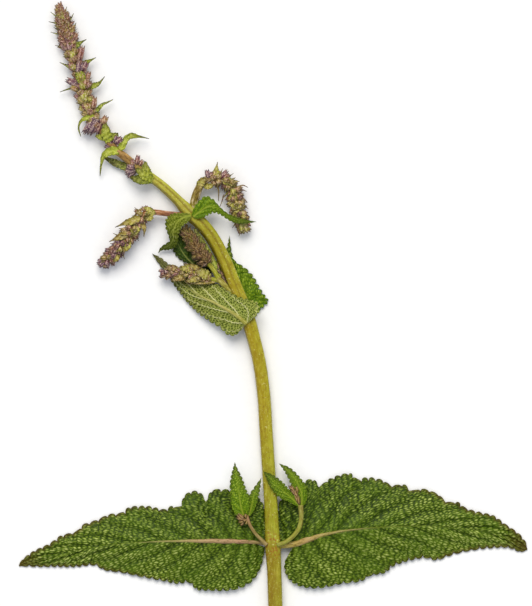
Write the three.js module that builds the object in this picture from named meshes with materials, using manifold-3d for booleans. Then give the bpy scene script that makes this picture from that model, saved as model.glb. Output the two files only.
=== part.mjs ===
// One cut stem of flowering sage, lying flat on its side, in millimetres.
// X runs across the stem, Y runs from the cut end to the flower tip, Z is up,
// and the surface that the stem lies on is z = 0.
import * as THREE from "three";
import { mergeVertices } from "three/addons/utils/BufferGeometryUtils.js";
import Module from "manifold-3d";

const wasm = await Module();
wasm.setup();

const GAP = 0.3; // clearance between neighbouring pieces
const FLOOR = 0.25; // lowest height of anything that only hangs above the surface
const SLIVER = 0.01; // joins drop triangles thinner than this
const UP = new THREE.Vector3(0, 0, 1);

// Turns [x, y, z] triples into vectors.
function vectors(triples) {
  return triples.map(([x, y, z]) => new THREE.Vector3(x, y, z));
}

// A smooth course through hand-chosen points.
function courseOf(triples) {
  return new THREE.CatmullRomCurve3(vectors(triples), false, "centripetal");
}

// A repeatable draw between -1 and 1 for a whole number.
function draw(number) {
  const value = Math.sin(number * 12.9898) * 43758.5453;
  return 2 * (value - Math.floor(value)) - 1;
}

// The value at share t of a list of evenly spaced values.
function along(values, t) {
  const place = t * (values.length - 1);
  const first = Math.min(Math.floor(place), values.length - 2);
  return THREE.MathUtils.lerp(values[first], values[first + 1], place - first);
}

// A solid from shared points and triangles that face out.
function solidOf(points, triangles) {
  const vertProperties = new Float32Array(points.flatMap((p) => [p.x, p.y, p.z]));
  const triVerts = new Uint32Array(triangles.flat());
  return new wasm.Manifold(new wasm.Mesh({ numProp: 3, vertProperties, triVerts }));
}

// Joins solids in pairs, so that no join grows a large body by one small one at a time.
function joined(solids) {
  if (solids.length === 1) return solids[0];
  const half = Math.ceil(solids.length / 2);
  return joined(solids.slice(0, half)).add(joined(solids.slice(half))).setTolerance(SLIVER);
}

// The largest body of a solid, without the scraps that a cut leaves loose.
function largest(solid) {
  const bodies = solid.decompose();
  return bodies.reduce((best, body) => (body.volume() > best.volume() ? body : best));
}

// A closed body through rings of equal length, capped flat, or ending in a point.
function loft(rings, apex) {
  const sides = rings[0].length;
  const points = rings.flat();
  const triangles = [];
  const middleOf = (ring) =>
    ring.reduce((sum, p) => sum.add(p), new THREE.Vector3()).divideScalar(sides);
  const start = points.push(middleOf(rings[0])) - 1;
  const end = points.push(apex ?? middleOf(rings[rings.length - 1])) - 1;
  const lastRing = (rings.length - 1) * sides;
  for (let i = 0; i < sides; i++) {
    const next = (i + 1) % sides;
    for (let ring = 0; ring < lastRing; ring += sides) {
      const [a, b, c, d] = [ring + i, ring + next, ring + sides + i, ring + sides + next];
      triangles.push([a, b, d], [a, d, c]);
    }
    triangles.push([start, next, i], [end, lastRing + i, lastRing + next]);
  }
  return solidOf(points, triangles);
}

// The directions across a course: left of travel, and the one facing the hint.
function across(direction, hint = UP) {
  const left = new THREE.Vector3().crossVectors(hint, direction).normalize();
  const face = new THREE.Vector3().crossVectors(direction, left);
  return { left, face };
}

// A point of a section, x to the left of travel and y towards the face.
function placed(centre, { left, face }, x, y) {
  return centre.clone().addScaledVector(left, x).addScaledVector(face, y);
}

// A stalk along part of a course through hand-chosen points, with its half width from a list.
function stalk(triples, halfWidths, stations, { sides = 6, from = 0, to = 1 } = {}) {
  const course = courseOf(triples);
  const rings = [];
  for (let j = 0; j <= stations; j++) {
    const t = THREE.MathUtils.lerp(from, to, j / stations);
    const frame = across(course.getTangentAt(t));
    const half = along(halfWidths, t);
    const ring = [];
    for (let i = 0; i < sides; i++) {
      const angle = (2 * Math.PI * (i + 0.5)) / sides;
      ring.push(placed(course.getPointAt(t), frame, half * Math.cos(angle), half * Math.sin(angle)));
    }
    rings.push(ring);
  }
  return loft(rings);
}

// A thin sheet between two faces with the same triangles, walled along its free edges.
function slab(points, triangles, thickness, direction = UP) {
  const count = points.length;
  const offset = direction.clone().multiplyScalar(thickness / 2);
  const both = [
    ...points.map((p) => p.clone().add(offset)),
    ...points.map((p) => p.clone().sub(offset)),
  ];
  const faces = [];
  const edges = new Set();
  for (const [a, b, c] of triangles) {
    faces.push([a, b, c], [a + count, c + count, b + count]);
    for (const [from, to] of [[a, b], [b, c], [c, a]]) edges.add(from + "," + to);
  }
  for (const edge of edges) {
    const [from, to] = edge.split(",").map(Number);
    if (edges.has(to + "," + from)) continue;
    faces.push([from, from + count, to], [to, from + count, to + count]);
  }
  return solidOf(both, faces);
}

// A leaf blade ruled from its midrib to the margin on each side.
// Its margin has rounded teeth, its side veins are sunk and the net between them bulges.
function blade({ rib, left, right, teeth, tooth, fan = 1, rows, thickness, quilt = 0, direction }) {
  const ribCourse = courseOf(rib);
  const points = [];
  const triangles = [];
  const add = (p) => points.push(p) - 1;
  const tip = add(ribCourse.getPointAt(1));
  const ribPoints = [];
  for (let j = 0; j < teeth; j++) ribPoints.push(add(ribCourse.getPointAt((j / teeth) ** fan)));
  ribPoints.push(tip);
  [left, right].forEach((margin, side) => {
    const marginCourse = courseOf(margin);
    const outward = side === 0 ? 1 : -1;
    const edgeAt = (u, inset) => {
      const away = across(marginCourse.getTangentAt(u)).left.multiplyScalar(-outward * inset);
      away.z = 0;
      return marginCourse.getPointAt(u).add(away);
    };
    const strips = rows.map(() => []);
    const edge = [];
    for (let j = 0; j < teeth; j++) {
      const depth = along(tooth, j / teeth);
      const from = points[ribPoints[j]];
      const to = edgeAt(j / teeth, j === 0 ? 0 : depth);
      rows.forEach((row, index) => {
        const sunk = j % 3 === 0 ? -1 : 0.5;
        const bump = (index + j) % 2 === 0 ? 0.35 : -0.35;
        const relief = quilt * (sunk + bump) * Math.min(1, (teeth - j) / 6);
        strips[index].push(add(from.clone().lerp(to, row).addScaledVector(UP, relief)));
      });
      edge.push(add(to));
      edge.push(add(edgeAt((j + 0.34) / teeth, 0)));
      edge.push(add(edgeAt((j + 0.72) / teeth, 0.1 * depth)));
    }
    strips.forEach((strip) => strip.push(tip));
    edge.push(tip);
    const face = (a, b, c) => {
      if (a === b || b === c || c === a) return;
      triangles.push(side === 0 ? [a, b, c] : [a, c, b]);
    };
    const lines = [ribPoints, ...strips];
    const inner = lines[lines.length - 1];
    for (let j = 0; j < teeth; j++) {
      for (let row = 0; row + 1 < lines.length; row++) {
        face(lines[row][j], lines[row][j + 1], lines[row + 1][j + 1]);
        face(lines[row][j], lines[row + 1][j + 1], lines[row + 1][j]);
      }
      const [notch, shoulder, crest, next] = edge.slice(3 * j, 3 * j + 4);
      face(inner[j], shoulder, notch);
      face(inner[j], inner[j + 1], shoulder);
      face(inner[j + 1], crest, shoulder);
      face(inner[j + 1], next, crest);
    }
  });
  return slab(points, triangles, thickness, direction);
}

// A narrow pointed bract: widest near its foot, with a long thin tip.
function bract(foot, bend, tip, halfWidth, hint = UP, halfThickness = 0.34) {
  const course = new THREE.QuadraticBezierCurve3(foot, bend, tip);
  const widths = [0.7, 1, 0.5];
  const rings = widths.map((width, index) => {
    const t = [0, 0.32, 0.68][index];
    const frame = across(course.getTangent(t), hint);
    const half = Math.max(width * halfWidth, halfThickness);
    const centre = course.getPoint(t);
    return [
      placed(centre, frame, half, halfThickness),
      placed(centre, frame, -half, halfThickness),
      placed(centre, frame, 0, -halfThickness),
    ];
  });
  return loft(rings, tip);
}

// A lathe-turned bud or calyx from its foot, pointing along a direction.
function bud(foot, direction, length, radius, sides = 4) {
  const profile = [
    [0, 0],
    [0.8 * radius, 0.22 * length],
    [radius, 0.62 * length],
    [0, length],
  ];
  const turned = new THREE.LatheGeometry(
    profile.map(([x, y]) => new THREE.Vector2(x, y)),
    sides,
  );
  turned.deleteAttribute("normal");
  turned.deleteAttribute("uv");
  const turn = new THREE.Quaternion().setFromUnitVectors(new THREE.Vector3(0, 1, 0), direction);
  const place = new THREE.Matrix4().compose(foot, turn, new THREE.Vector3(1, 1, 1));
  const merged = mergeVertices(turned.applyMatrix4(place), 1e-4);
  const position = merged.getAttribute("position");
  const points = [];
  for (let i = 0; i < position.count; i++) {
    points.push(new THREE.Vector3().fromBufferAttribute(position, i));
  }
  const triangles = [];
  for (let i = 0; i < merged.index.count; i += 3) {
    const [a, b, c] = merged.index.array.slice(i, i + 3);
    if (a !== b && b !== c && c !== a) triangles.push([a, b, c]);
  }
  return solidOf(points, triangles);
}

// The longest reach in a direction that stays above the surface.
function reach(foot, direction, length, radius, lowest) {
  if (direction.z >= 0) return length;
  return Math.min(length, (foot.z - lowest - 0.6 * radius) / -direction.z);
}

// One whorl of a flower spike: two facing bracts, and calyces fanned out in each one's axil.
function whorl({ centre, forward, inPlane, calyx, opening, perSide, bractLength, tips, lowest, seed }) {
  const frame = across(forward);
  const pieces = [];
  [1, -1].forEach((sign, side) => {
    const axil = inPlane ? (sign === 1 ? 0 : Math.PI) : (sign * Math.PI) / 2;
    const sideways = placed(new THREE.Vector3(), frame, Math.cos(axil), Math.sin(axil));
    for (let i = 0; i < perSide; i++) {
      const spread = (i - (perSide - 1) / 2) * 1.45;
      const angle = axil + spread + 0.16 * draw(seed + 7 * i + side);
      const outward = placed(new THREE.Vector3(), frame, Math.cos(angle), Math.sin(angle));
      const foot = centre.clone().addScaledVector(outward, 0.45 * calyx.radius);
      const tilt = opening * (1 + 0.14 * draw(seed + 3 * i + 5 * side + 1));
      const direction = outward
        .multiplyScalar(Math.sin(tilt))
        .addScaledVector(forward, Math.cos(tilt))
        .normalize();
      const wanted = calyx.length * (1 + 0.12 * draw(seed + 11 * i + side + 2));
      const length = reach(foot, direction, wanted, calyx.radius, lowest);
      if (length > 0.5 * wanted) pieces.push(bud(foot, direction, length, calyx.radius));
    }
    const target = tips?.[side];
    const leaning = sideways.clone().multiplyScalar(0.9).addScaledVector(forward, 0.35);
    const wantedReach = bractLength * (1 + 0.15 * draw(seed + side + 31));
    const span = reach(centre, leaning.clone().normalize(), wantedReach, calyx.radius, lowest);
    if (!target && span < 0.5 * wantedReach) return;
    const bend = target
      ? new THREE.Vector3(...target.bend)
      : centre.clone().addScaledVector(sideways, 0.75 * span);
    const tip = target
      ? new THREE.Vector3(...target.tip)
      : centre.clone().addScaledVector(leaning, span);
    const halfWidth = target?.half ?? 0.24 * bractLength + 0.2;
    const hint = inPlane ? UP : frame.left;
    const foot = placed(centre, frame, 0, 0)
      .addScaledVector(sideways, 0.3 * calyx.radius)
      .addScaledVector(forward, -0.55 * calyx.radius);
    pieces.push(bract(foot, bend, tip, halfWidth, hint));
  });
  return pieces;
}

// A flower spike: a stalk with whorls set closer and closer towards its tip.
function spike(plan) {
  const { course, halfWidths, first, count, ratio, calyx, bractLength, seed } = plan;
  const { tips = {}, open = 0.4, lowest = FLOOR } = plan;
  const curve = courseOf(course);
  const bare = Math.round(first * course.length);
  const from = bare > 1 ? 0.9 * first : 0;
  const pieces = [stalk(course, halfWidths, course.length, { sides: 4, from })];
  if (bare > 1) pieces.push(stalk(course, halfWidths, bare, { to: first }));
  const share = (k) => (1 - ratio ** k) / (1 - ratio ** (count - 0.4));
  for (let k = 0; k < count; k++) {
    const t = first + (1 - first) * share(k);
    const size = along(calyx.sizes, k / (count - 1));
    pieces.push(
      ...whorl({
        centre: curve.getPointAt(t),
        forward: curve.getTangentAt(t),
        inPlane: k % 2 === 1,
        calyx: { length: size * calyx.length, radius: size * calyx.radius },
        opening: along(calyx.opening, k / (count - 1)),
        perSide: k < open * count ? 2 : k < 0.8 * count ? 1 : 0,
        bractLength: size * bractLength,
        tips: tips[k],
        lowest,
        seed: seed + 17 * k,
      }),
    );
  }
  const end = curve.getPointAt(0.96);
  pieces.push(bud(end, curve.getTangentAt(1), 0.7 * calyx.length, 0.75 * calyx.radius));
  return joined(pieces);
}

// The square stem. Each row is x, y, the height of its underside and its half width.
const stemRows = [
  [1.2, -112, 0, 2.5],
  [0.8, -100.5, 0, 2.5],
  [0.4, -88, 0, 2.5],
  [-0.1, -79, 0, 2.75],
  [-0.4, -73, 0, 2.45],
  [-0.8, -64, 0, 2.35],
  [-1.5, -53.5, 0, 2.3],
  [-2.4, -40, 0, 2.3],
  [-3.2, -27, 0, 2.25],
  [-4.9, -14.5, 0.6, 2.25],
  [-6.9, -6, 1.4, 2.25],
  [-9, 1.2, 2, 2.4],
  [-12.9, 10.9, 2, 2.2],
  [-16.5, 19.8, 2, 2.2],
  [-20.9, 28.6, 2, 2.15],
  [-25.6, 34.6, 2, 2.15],
  [-29.4, 38, 1.9, 2.3],
  [-33.3, 42.3, 1.8, 1.6],
  [-38, 46.8, 1.6, 1.5],
  [-41.8, 49.8, 1.55, 1.45],
  [-45.2, 52.2, 1.55, 1.45],
];

// A quarter turn of the section, as shares of the half width: ridge, groove, ridge.
const stemSection = [
  [0.72, 1],
  [0, 0.88],
  [-0.72, 1],
  [-1, 0.72],
  [-0.88, 0],
  [-1, -0.72],
  [-0.72, -1],
  [0, -1],
  [0.72, -1],
  [1, -0.72],
  [0.88, 0],
  [1, 0.72],
];

function stemSolid(grow = 0) {
  const stations = 36;
  const middle = new THREE.CatmullRomCurve3(
    stemRows.map(([x, y]) => new THREE.Vector3(x, y, 0)),
    false,
    "catmullrom",
    0.5,
  );
  const rings = [];
  for (let j = 0; j <= stations; j++) {
    const t = j / stations;
    const underside = along(stemRows.map((row) => row[2]), t);
    const half = along(stemRows.map((row) => row[3]), t);
    const centre = middle.getPoint(t).setZ(underside + half);
    const frame = across(middle.getTangent(t));
    rings.push(stemSection.map(([x, y]) => placed(centre, frame, x * (half + grow), y * (half + grow))));
  }
  return loft(rings);
}

const stem = stemSolid();
const stemClearance = stemSolid(GAP);

// Cuts away what would touch the stem.
function besideStem(solid) {
  return largest(solid.subtract(stemClearance));
}

function lowerLeafLeft() {
  const rib = [
    [-2.6, -78.4, 3],
    [-8.2, -77.9, 3.2],
    [-17.4, -77.6, 3.6],
    [-35.7, -77.6, 3.9],
    [-47.7, -78.1, 3.6],
    [-60, -79.4, 3.1],
    [-72, -81.7, 2.2],
    [-81.2, -84.1, 1.2],
    [-89.9, -86.6, 0.4],
  ];
  const lamina = blade({
    rib: rib.slice(1),
    left: [
      [-4, -80.2, 1.6],
      [-4, -84.3, 0.9],
      [-4.7, -88.2, 0.7],
      [-6.6, -91.6, 0.6],
      [-9.9, -93.8, 0.9],
      [-14.5, -95.1, 1.3],
      [-23, -94.9, 0.7],
      [-32.5, -92.4, 0.5],
      [-43, -90.5, 1.1],
      [-54.4, -88.4, 0.6],
      [-65.7, -86.5, 0.5],
      [-78.7, -86.8, 0.7],
      [-89.9, -86.6, 0.4],
    ],
    right: [
      [-4, -76.5, 1.9],
      [-4, -70.4, 1.1],
      [-5.2, -64.8, 1.5],
      [-8.5, -61.6, 1.1],
      [-13.1, -60, 0.8],
      [-18.1, -59.6, 1.4],
      [-27.2, -60.9, 1.2],
      [-31.5, -63, 0.7],
      [-36, -65.4, 0.6],
      [-45.9, -65.6, 1],
      [-57.2, -68.3, 0.6],
      [-68.2, -73.2, 0.8],
      [-78.7, -78, 0.5],
      [-89.9, -86.6, 0.4],
    ],
    teeth: 27,
    tooth: [1.1, 1.2, 1, 0.9, 0.6],
    fan: 1.5,
    rows: [0.4, 0.8],
    thickness: 0.66,
    quilt: 0.3,
  });
  const petiole = stalk(rib.slice(0, 5), [1.15, 1, 0.8, 0.6, 0.45], 6);
  return besideStem(lamina.add(petiole));
}

function lowerLeafRight() {
  const rib = [
    [1.7, -79.2, 3],
    [7.3, -78.7, 3.3],
    [12.6, -77, 3.7],
    [17.2, -75.5, 3.8],
    [24.6, -74, 4],
    [35.2, -72.9, 3.9],
    [44.4, -72.4, 3.6],
    [56.4, -72.4, 3],
    [68.7, -73.4, 2.2],
    [77.9, -74.9, 1.4],
    [84.1, -77.3, 0.8],
    [89.9, -80.8, 0.4],
  ];
  const lamina = blade({
    rib: rib.slice(1),
    left: [
      [4.4, -76.8, 2.2],
      [3.2, -72.3, 1.3],
      [3.5, -67, 1.3],
      [4.9, -62.4, 1.6],
      [7.7, -58.9, 1.2],
      [12, -56.5, 0.7],
      [20, -55.7, 1.1],
      [25.5, -54.2, 1.4],
      [34.5, -55.6, 0.7],
      [44.4, -57.5, 0.6],
      [54.3, -60.3, 1],
      [64.5, -64.4, 0.6],
      [75.8, -68.4, 0.8],
      [84.4, -74.2, 0.5],
      [89.9, -80.8, 0.4],
    ],
    right: [
      [6.2, -80.9, 2.4],
      [4.6, -83.3, 1.6],
      [3.9, -86.4, 1.1],
      [4.6, -89.8, 0.8],
      [7, -92.6, 0.7],
      [12, -94.2, 1.1],
      [20, -93.9, 1.3],
      [29.9, -91.6, 0.6],
      [39.8, -87.2, 0.5],
      [50.4, -84.7, 1],
      [61.7, -82.9, 0.6],
      [73, -80.7, 0.5],
      [80, -80.2, 0.8],
      [89.9, -80.8, 0.4],
    ],
    teeth: 27,
    tooth: [1.1, 1.2, 1, 0.9, 0.6],
    fan: 1.5,
    rows: [0.4, 0.8],
    thickness: 0.66,
    quilt: 0.3,
  });
  const petiole = stalk(rib.slice(0, 6), [1.3, 1.1, 0.9, 0.75, 0.6, 0.45], 6);
  return besideStem(lamina.add(petiole));
}

// A short shoot in the axil of a lower leaf: stalk, two small leaves and young buds.
function axilShootLeft() {
  const longer = blade({
    rib: [
      [-9.2, -69.2, 4.9],
      [-10.6, -64.9, 5.2],
      [-11.6, -60.3, 5.1],
      [-12.6, -55, 4.5],
      [-13.5, -49.9, 3.6],
    ],
    left: [
      [-10, -69.2, 5.2],
      [-13.1, -67.7, 5],
      [-15.4, -64.6, 4.4],
      [-15.4, -59.6, 4.3],
      [-15.1, -55.4, 4],
      [-13.5, -49.9, 3.6],
    ],
    right: [
      [-8.7, -68.6, 5.2],
      [-8, -65.3, 5.7],
      [-8.3, -61.4, 5.5],
      [-10, -57.3, 5],
      [-11.9, -53.4, 4.2],
      [-13.5, -49.9, 3.6],
    ],
    teeth: 7,
    tooth: [0.3, 0.6, 0.6, 0.35],
    rows: [0.55],
    thickness: 0.62,
    quilt: 0.12,
  });
  const shorter = blade({
    rib: [
      [-8.6, -69, 4.5],
      [-7.6, -65.3, 4.4],
      [-6.7, -61.4, 4.3],
      [-5.6, -58.2, 3.9],
      [-4.4, -55.3, 3.4],
    ],
    left: [
      [-8.9, -68.6, 4.4],
      [-9.1, -64.9, 4.1],
      [-8.4, -61.2, 3.9],
      [-6.7, -57.8, 3.6],
      [-4.4, -55.3, 3.4],
    ],
    right: [
      [-8, -68.6, 4.6],
      [-6.6, -66.2, 4.9],
      [-5.2, -62.4, 4.8],
      [-4.7, -58.4, 4.2],
      [-4.4, -55.3, 3.4],
    ],
    teeth: 5,
    tooth: [0.2, 0.5, 0.5, 0.3],
    rows: [],
    thickness: 0.62,
  });
  const course = [
    [-2.4, -78.8, 5.4],
    [-5, -76.2, 5.3],
    [-6.9, -74, 5.1],
    [-8.4, -71.3, 5],
    [-9.1, -68.6, 4.9],
  ];
  const foot = new THREE.Vector3(-9.6, -70.2, 4.8);
  const heads = [
    [-0.9, 0.1, 0.4],
    [-0.6, 0.7, 0.35],
    [-0.2, 0.5, 0.8],
  ].map((d) => bud(foot, new THREE.Vector3(...d).normalize(), 2.1, 0.75));
  return besideStem(joined([stalk(course, [0.95, 0.8, 0.75, 0.9], 6), longer, shorter, ...heads]));
}

function axilShootRight() {
  const outer = blade({
    rib: [
      [9.6, -65.2, 5.3],
      [9.9, -61, 5.6],
      [8.6, -57.5, 5.5],
      [6.5, -54.3, 5.2],
      [4.5, -52.2, 4.9],
      [2.2, -50.3, 4.6],
    ],
    left: [
      [9.2, -64.6, 5.4],
      [8.4, -61.6, 5.9],
      [6.6, -58.2, 6],
      [5, -54.6, 5.6],
      [3.6, -52.2, 5.1],
      [2.2, -50.3, 4.6],
    ],
    right: [
      [10.3, -65, 5.2],
      [11.8, -62.4, 4.9],
      [11.6, -58.8, 4.6],
      [9.4, -55.2, 4.5],
      [5.9, -52.1, 4.4],
      [2.2, -50.3, 4.6],
    ],
    teeth: 7,
    tooth: [0.2, 0.6, 0.6, 0.3],
    rows: [0.55],
    thickness: 0.62,
    quilt: 0.1,
  });
  const crossing = blade({
    rib: [
      [9.4, -65, 5.7],
      [6.4, -62.1, 6.2],
      [3.3, -59.5, 6.3],
      [0.3, -56.6, 6],
      [-3.5, -53.2, 5.6],
    ],
    left: [
      [8.6, -65.3, 5.7],
      [5.4, -63.7, 5.9],
      [1.7, -61.9, 5.8],
      [-0.9, -58.9, 5.7],
      [-3.5, -53.2, 5.6],
    ],
    right: [
      [9.8, -64.2, 5.9],
      [6.6, -60.3, 6.8],
      [3.6, -57, 6.7],
      [-0.1, -54.2, 6.2],
      [-3.5, -53.2, 5.6],
    ],
    teeth: 7,
    tooth: [0.2, 0.55, 0.55, 0.3],
    rows: [0.55],
    thickness: 0.62,
    quilt: 0.1,
  });
  const course = [
    [1.6, -79, 5.7],
    [5, -77.8, 5.7],
    [7.9, -75.2, 5.6],
    [9.6, -72.1, 5.5],
    [10, -68.4, 5.4],
    [9.6, -64.6, 5.5],
  ];
  const foot = new THREE.Vector3(9.2, -64, 6);
  const heads = [
    [-0.55, 0.9, 0.15],
    [-0.35, 0.95, 0.25],
    [-0.75, 0.7, 0.2],
  ].map((d, i) => bud(foot, new THREE.Vector3(...d).normalize(), 5.6 - 1.6 * i, 0.85));
  return besideStem(joined([stalk(course, [1.15, 1, 0.95, 0.95, 1], 8), outer, crossing, ...heads]));
}

// The pair at the middle node: one leaf in front of the stem, one behind it.
function upperLeafFront() {
  const rib = [
    [-9.4, -1, 7.3],
    [-12.4, 1.6, 7.6],
    [-16, 3.9, 7.3],
    [-20.5, 6.4, 6],
    [-24.9, 8.5, 4.6],
    [-29.4, 11.1, 3.1],
    [-33.2, 14.5, 1.7],
    [-37.1, 18.3, 1],
    [-42.8, 23.9, 0.8],
  ];
  const lamina = blade({
    rib,
    left: [
      [-10.5, -1.9, 6.8],
      [-12.4, -3.7, 5.6],
      [-14.9, -4.9, 4.4],
      [-17.4, -3.5, 3.9],
      [-21.4, -0.5, 3.2],
      [-26.5, 2.8, 2],
      [-30.8, 7.2, 1.3],
      [-34.8, 12.2, 0.9],
      [-39.1, 18.5, 0.7],
      [-42.8, 23.9, 0.8],
    ],
    right: [
      [-8.6, -0.4, 7.4],
      [-6, 1.6, 7.6],
      [-4.6, 4, 7.4],
      [-5.4, 6.6, 7.3],
      [-8.9, 7.9, 7.5],
      [-12.1, 8.6, 7.4],
      [-17.3, 11.2, 6.2],
      [-21.5, 13.2, 2.9],
      [-26.9, 15.5, 1.5],
      [-33.9, 19.8, 0.9],
      [-39, 22.6, 0.8],
      [-42.8, 23.9, 0.8],
    ],
    teeth: 15,
    tooth: [0.7, 0.8, 0.7, 0.5],
    fan: 1.25,
    rows: [0.4, 0.78],
    thickness: 0.64,
    quilt: 0.18,
  });
  const petiole = stalk(rib.slice(0, 5), [1, 0.85, 0.65, 0.5], 6);
  return besideStem(lamina.add(petiole));
}

function upperLeafBack() {
  return besideStem(
    blade({
      rib: [
        [-8.4, 1.1, 1.3],
        [-9.6, 5, 1.1],
        [-10.8, 9.2, 1.1],
        [-12.4, 14.1, 1.1],
        [-14, 19.4, 1],
        [-15.2, 24.3, 1],
        [-15.5, 30.3, 0.8],
      ],
      left: [
        [-9.6, 0.9, 1.1],
        [-12.4, 3.5, 0.8],
        [-14.8, 8, 0.6],
        [-16, 13, 0.6],
        [-16.6, 18.7, 0.7],
        [-16.1, 24.3, 0.8],
        [-15.5, 30.3, 0.8],
      ],
      right: [
        [-7.4, 1.3, 1.2],
        [-4, 4.2, 0.9],
        [-1.7, 7.1, 0.7],
        [-3.4, 9.8, 1],
        [-5.2, 12.7, 0.7],
        [-7.1, 16.1, 0.9],
        [-10.1, 19.2, 0.7],
        [-13.6, 21.8, 0.8],
        [-15, 25.6, 0.8],
        [-15.5, 30.3, 0.8],
      ],
      teeth: 12,
      tooth: [0.7, 0.9, 0.7, 0.3],
      rows: [0.38, 0.76],
      thickness: 0.62,
      quilt: 0.12,
    }),
  );
}

// The forked side shoot in the axil of the middle pair: two spikes and one leaf.
function innerBranchLeaf() {
  return blade({
    rib: [
      [-22.2, 15.9, 1.3],
      [-24.8, 17.8, 1.3],
      [-29.4, 21.2, 1.2],
      [-32.4, 25, 1.2],
      [-33.9, 28.6, 1.1],
      [-34.1, 32.5, 0.9],
    ],
    left: [
      [-22.4, 15.2, 1.1],
      [-24.1, 16.9, 0.9],
      [-26.9, 18.6, 0.8],
      [-30.1, 20.1, 0.7],
      [-32.7, 21.5, 0.7],
      [-35.3, 24.4, 0.7],
      [-35.9, 28.4, 0.7],
      [-34.1, 32.5, 0.9],
    ],
    right: [
      [-21.6, 16.6, 1.2],
      [-22.2, 20.4, 1],
      [-24.1, 23.6, 0.9],
      [-26.5, 25.9, 0.9],
      [-28.6, 28.2, 0.9],
      [-31.4, 30.6, 0.9],
      [-34.1, 32.5, 0.9],
    ],
    teeth: 11,
    tooth: [0.3, 0.6, 0.6, 0.4],
    rows: [0.5],
    thickness: 0.62,
    quilt: 0.1,
  });
}

function innerSpikeUpper() {
  const branch = stalk(
    [
      [-9.6, 0.8, 5],
      [-11.9, 5.6, 4.9],
      [-14.2, 9.7, 4.8],
      [-17, 12.5, 4.7],
      [-20.4, 14.8, 4.6],
    ],
    [1.2, 1.1, 1.05, 1.05],
    6,
  );
  const head = spike({
    course: [
      [-20, 14.4, 4.6],
      [-22.1, 18.7, 4.9],
      [-24.4, 22.2, 5],
      [-26.9, 25.9, 4.6],
      [-29.2, 29.1, 4],
      [-31, 31.8, 3.6],
    ],
    halfWidths: [1.1, 0.9, 0.7],
    first: 0.16,
    count: 6,
    ratio: 0.9,
    open: 0.5,
    calyx: { length: 3.3, radius: 1, sizes: [1, 1, 0.9, 0.6], opening: [1, 0.95, 0.75, 0.5] },
    bractLength: 2.8,
    lowest: 1.8,
    seed: 301,
  });
  return besideStem(branch.add(head));
}

function innerSpikeLower() {
  return spike({
    course: [
      [-22.8, 14.5, 4.2],
      [-24.9, 15.6, 4.3],
      [-27.2, 16.9, 4.4],
      [-30.8, 17.1, 4.2],
      [-34.6, 17, 3.9],
      [-38.4, 16.8, 3.6],
    ],
    halfWidths: [0.9, 0.8, 0.6],
    first: 0.14,
    count: 5,
    ratio: 0.88,
    calyx: { length: 2.7, radius: 0.85, sizes: [1, 1, 0.9, 0.7], opening: [0.85, 0.8, 0.7, 0.5] },
    bractLength: 3,
    lowest: 1.9,
    seed: 401,
  });
}

// The small pair at the upper node: one leaf droops left, one crosses to the right.
function nodeLeafLeft() {
  return besideStem(
    blade({
      rib: [
        [-28.9, 37.2, 7.1],
        [-30.9, 36, 7.2],
        [-33.2, 34.4, 6.8],
        [-35.2, 31.6, 5.6],
        [-36.1, 28.8, 4],
        [-37.6, 26.7, 2.8],
        [-39.6, 25.5, 1.9],
        [-40.7, 23.8, 1.3],
      ],
      left: [
        [-28.7, 36.6, 7.3],
        [-30.4, 34.6, 7.3],
        [-32.4, 32.2, 6.9],
        [-33.5, 29.4, 5.4],
        [-34.8, 26.9, 3.9],
        [-36.6, 25.5, 2.9],
        [-38.7, 24.8, 2],
        [-40.7, 23.8, 1.3],
      ],
      right: [
        [-29.3, 37.8, 7.1],
        [-31.6, 37.6, 7],
        [-34.6, 37.1, 6.4],
        [-37, 35.6, 5.4],
        [-37.7, 32.6, 4.4],
        [-37.2, 29.6, 3.3],
        [-38.8, 27.4, 2.2],
        [-40.7, 23.8, 1.3],
      ],
      teeth: 10,
      tooth: [0.3, 0.6, 0.6, 0.3],
      rows: [0.55],
      thickness: 0.62,
      quilt: 0.1,
    }),
  );
}

function nodeLeafRight() {
  return besideStem(
    blade({
      rib: [
        [-28.2, 36.8, 7.1],
        [-25.8, 38.6, 7.2],
        [-22.4, 40.5, 7],
        [-19.1, 39.6, 6.8],
        [-15.9, 37.2, 6.7],
        [-11.4, 35.5, 6.6],
        [-5.8, 35, 6],
      ],
      left: [
        [-28.6, 37.4, 7.2],
        [-27.6, 40, 7.4],
        [-26, 42.2, 7.2],
        [-23.8, 43.8, 6.8],
        [-21.4, 42.6, 6.7],
        [-18.6, 40, 6.7],
        [-15.6, 37.6, 6.7],
        [-11, 36, 6.6],
        [-5.8, 35, 6],
      ],
      right: [
        [-27.6, 36.2, 7.2],
        [-25.4, 36.3, 7.2],
        [-23.4, 37.2, 7],
        [-20.9, 38.3, 6.8],
        [-18.6, 37.6, 6.7],
        [-15.7, 35.8, 6.7],
        [-13, 34.7, 6.7],
        [-9.6, 34.5, 6.5],
        [-5.8, 35, 6],
      ],
      teeth: 11,
      tooth: [0.3, 0.6, 0.4, 0.15],
      rows: [0.55],
      thickness: 0.62,
      quilt: 0.1,
    }),
  );
}

function sideSpikeLeft() {
  return besideStem(
    spike({
      course: [
        [-29.6, 37, 4],
        [-37.5, 37.9, 3.8],
        [-41.6, 38.4, 3.8],
        [-44.2, 38.4, 3.7],
        [-46.6, 36.8, 3.6],
        [-50.5, 31.4, 3.4],
        [-55.1, 25.2, 3.2],
        [-60, 20.4, 3],
      ],
      halfWidths: [1.2, 1.05, 1.05, 0.9, 0.8, 0.7],
      first: 0.36,
      count: 8,
      ratio: 0.92,
      open: 0.5,
      calyx: { length: 3.4, radius: 1, sizes: [0.9, 1, 1, 0.9, 0.7], opening: [1, 1, 0.9, 0.7, 0.5] },
      bractLength: 3.4,
        seed: 101,
    }),
  );
}

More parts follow.
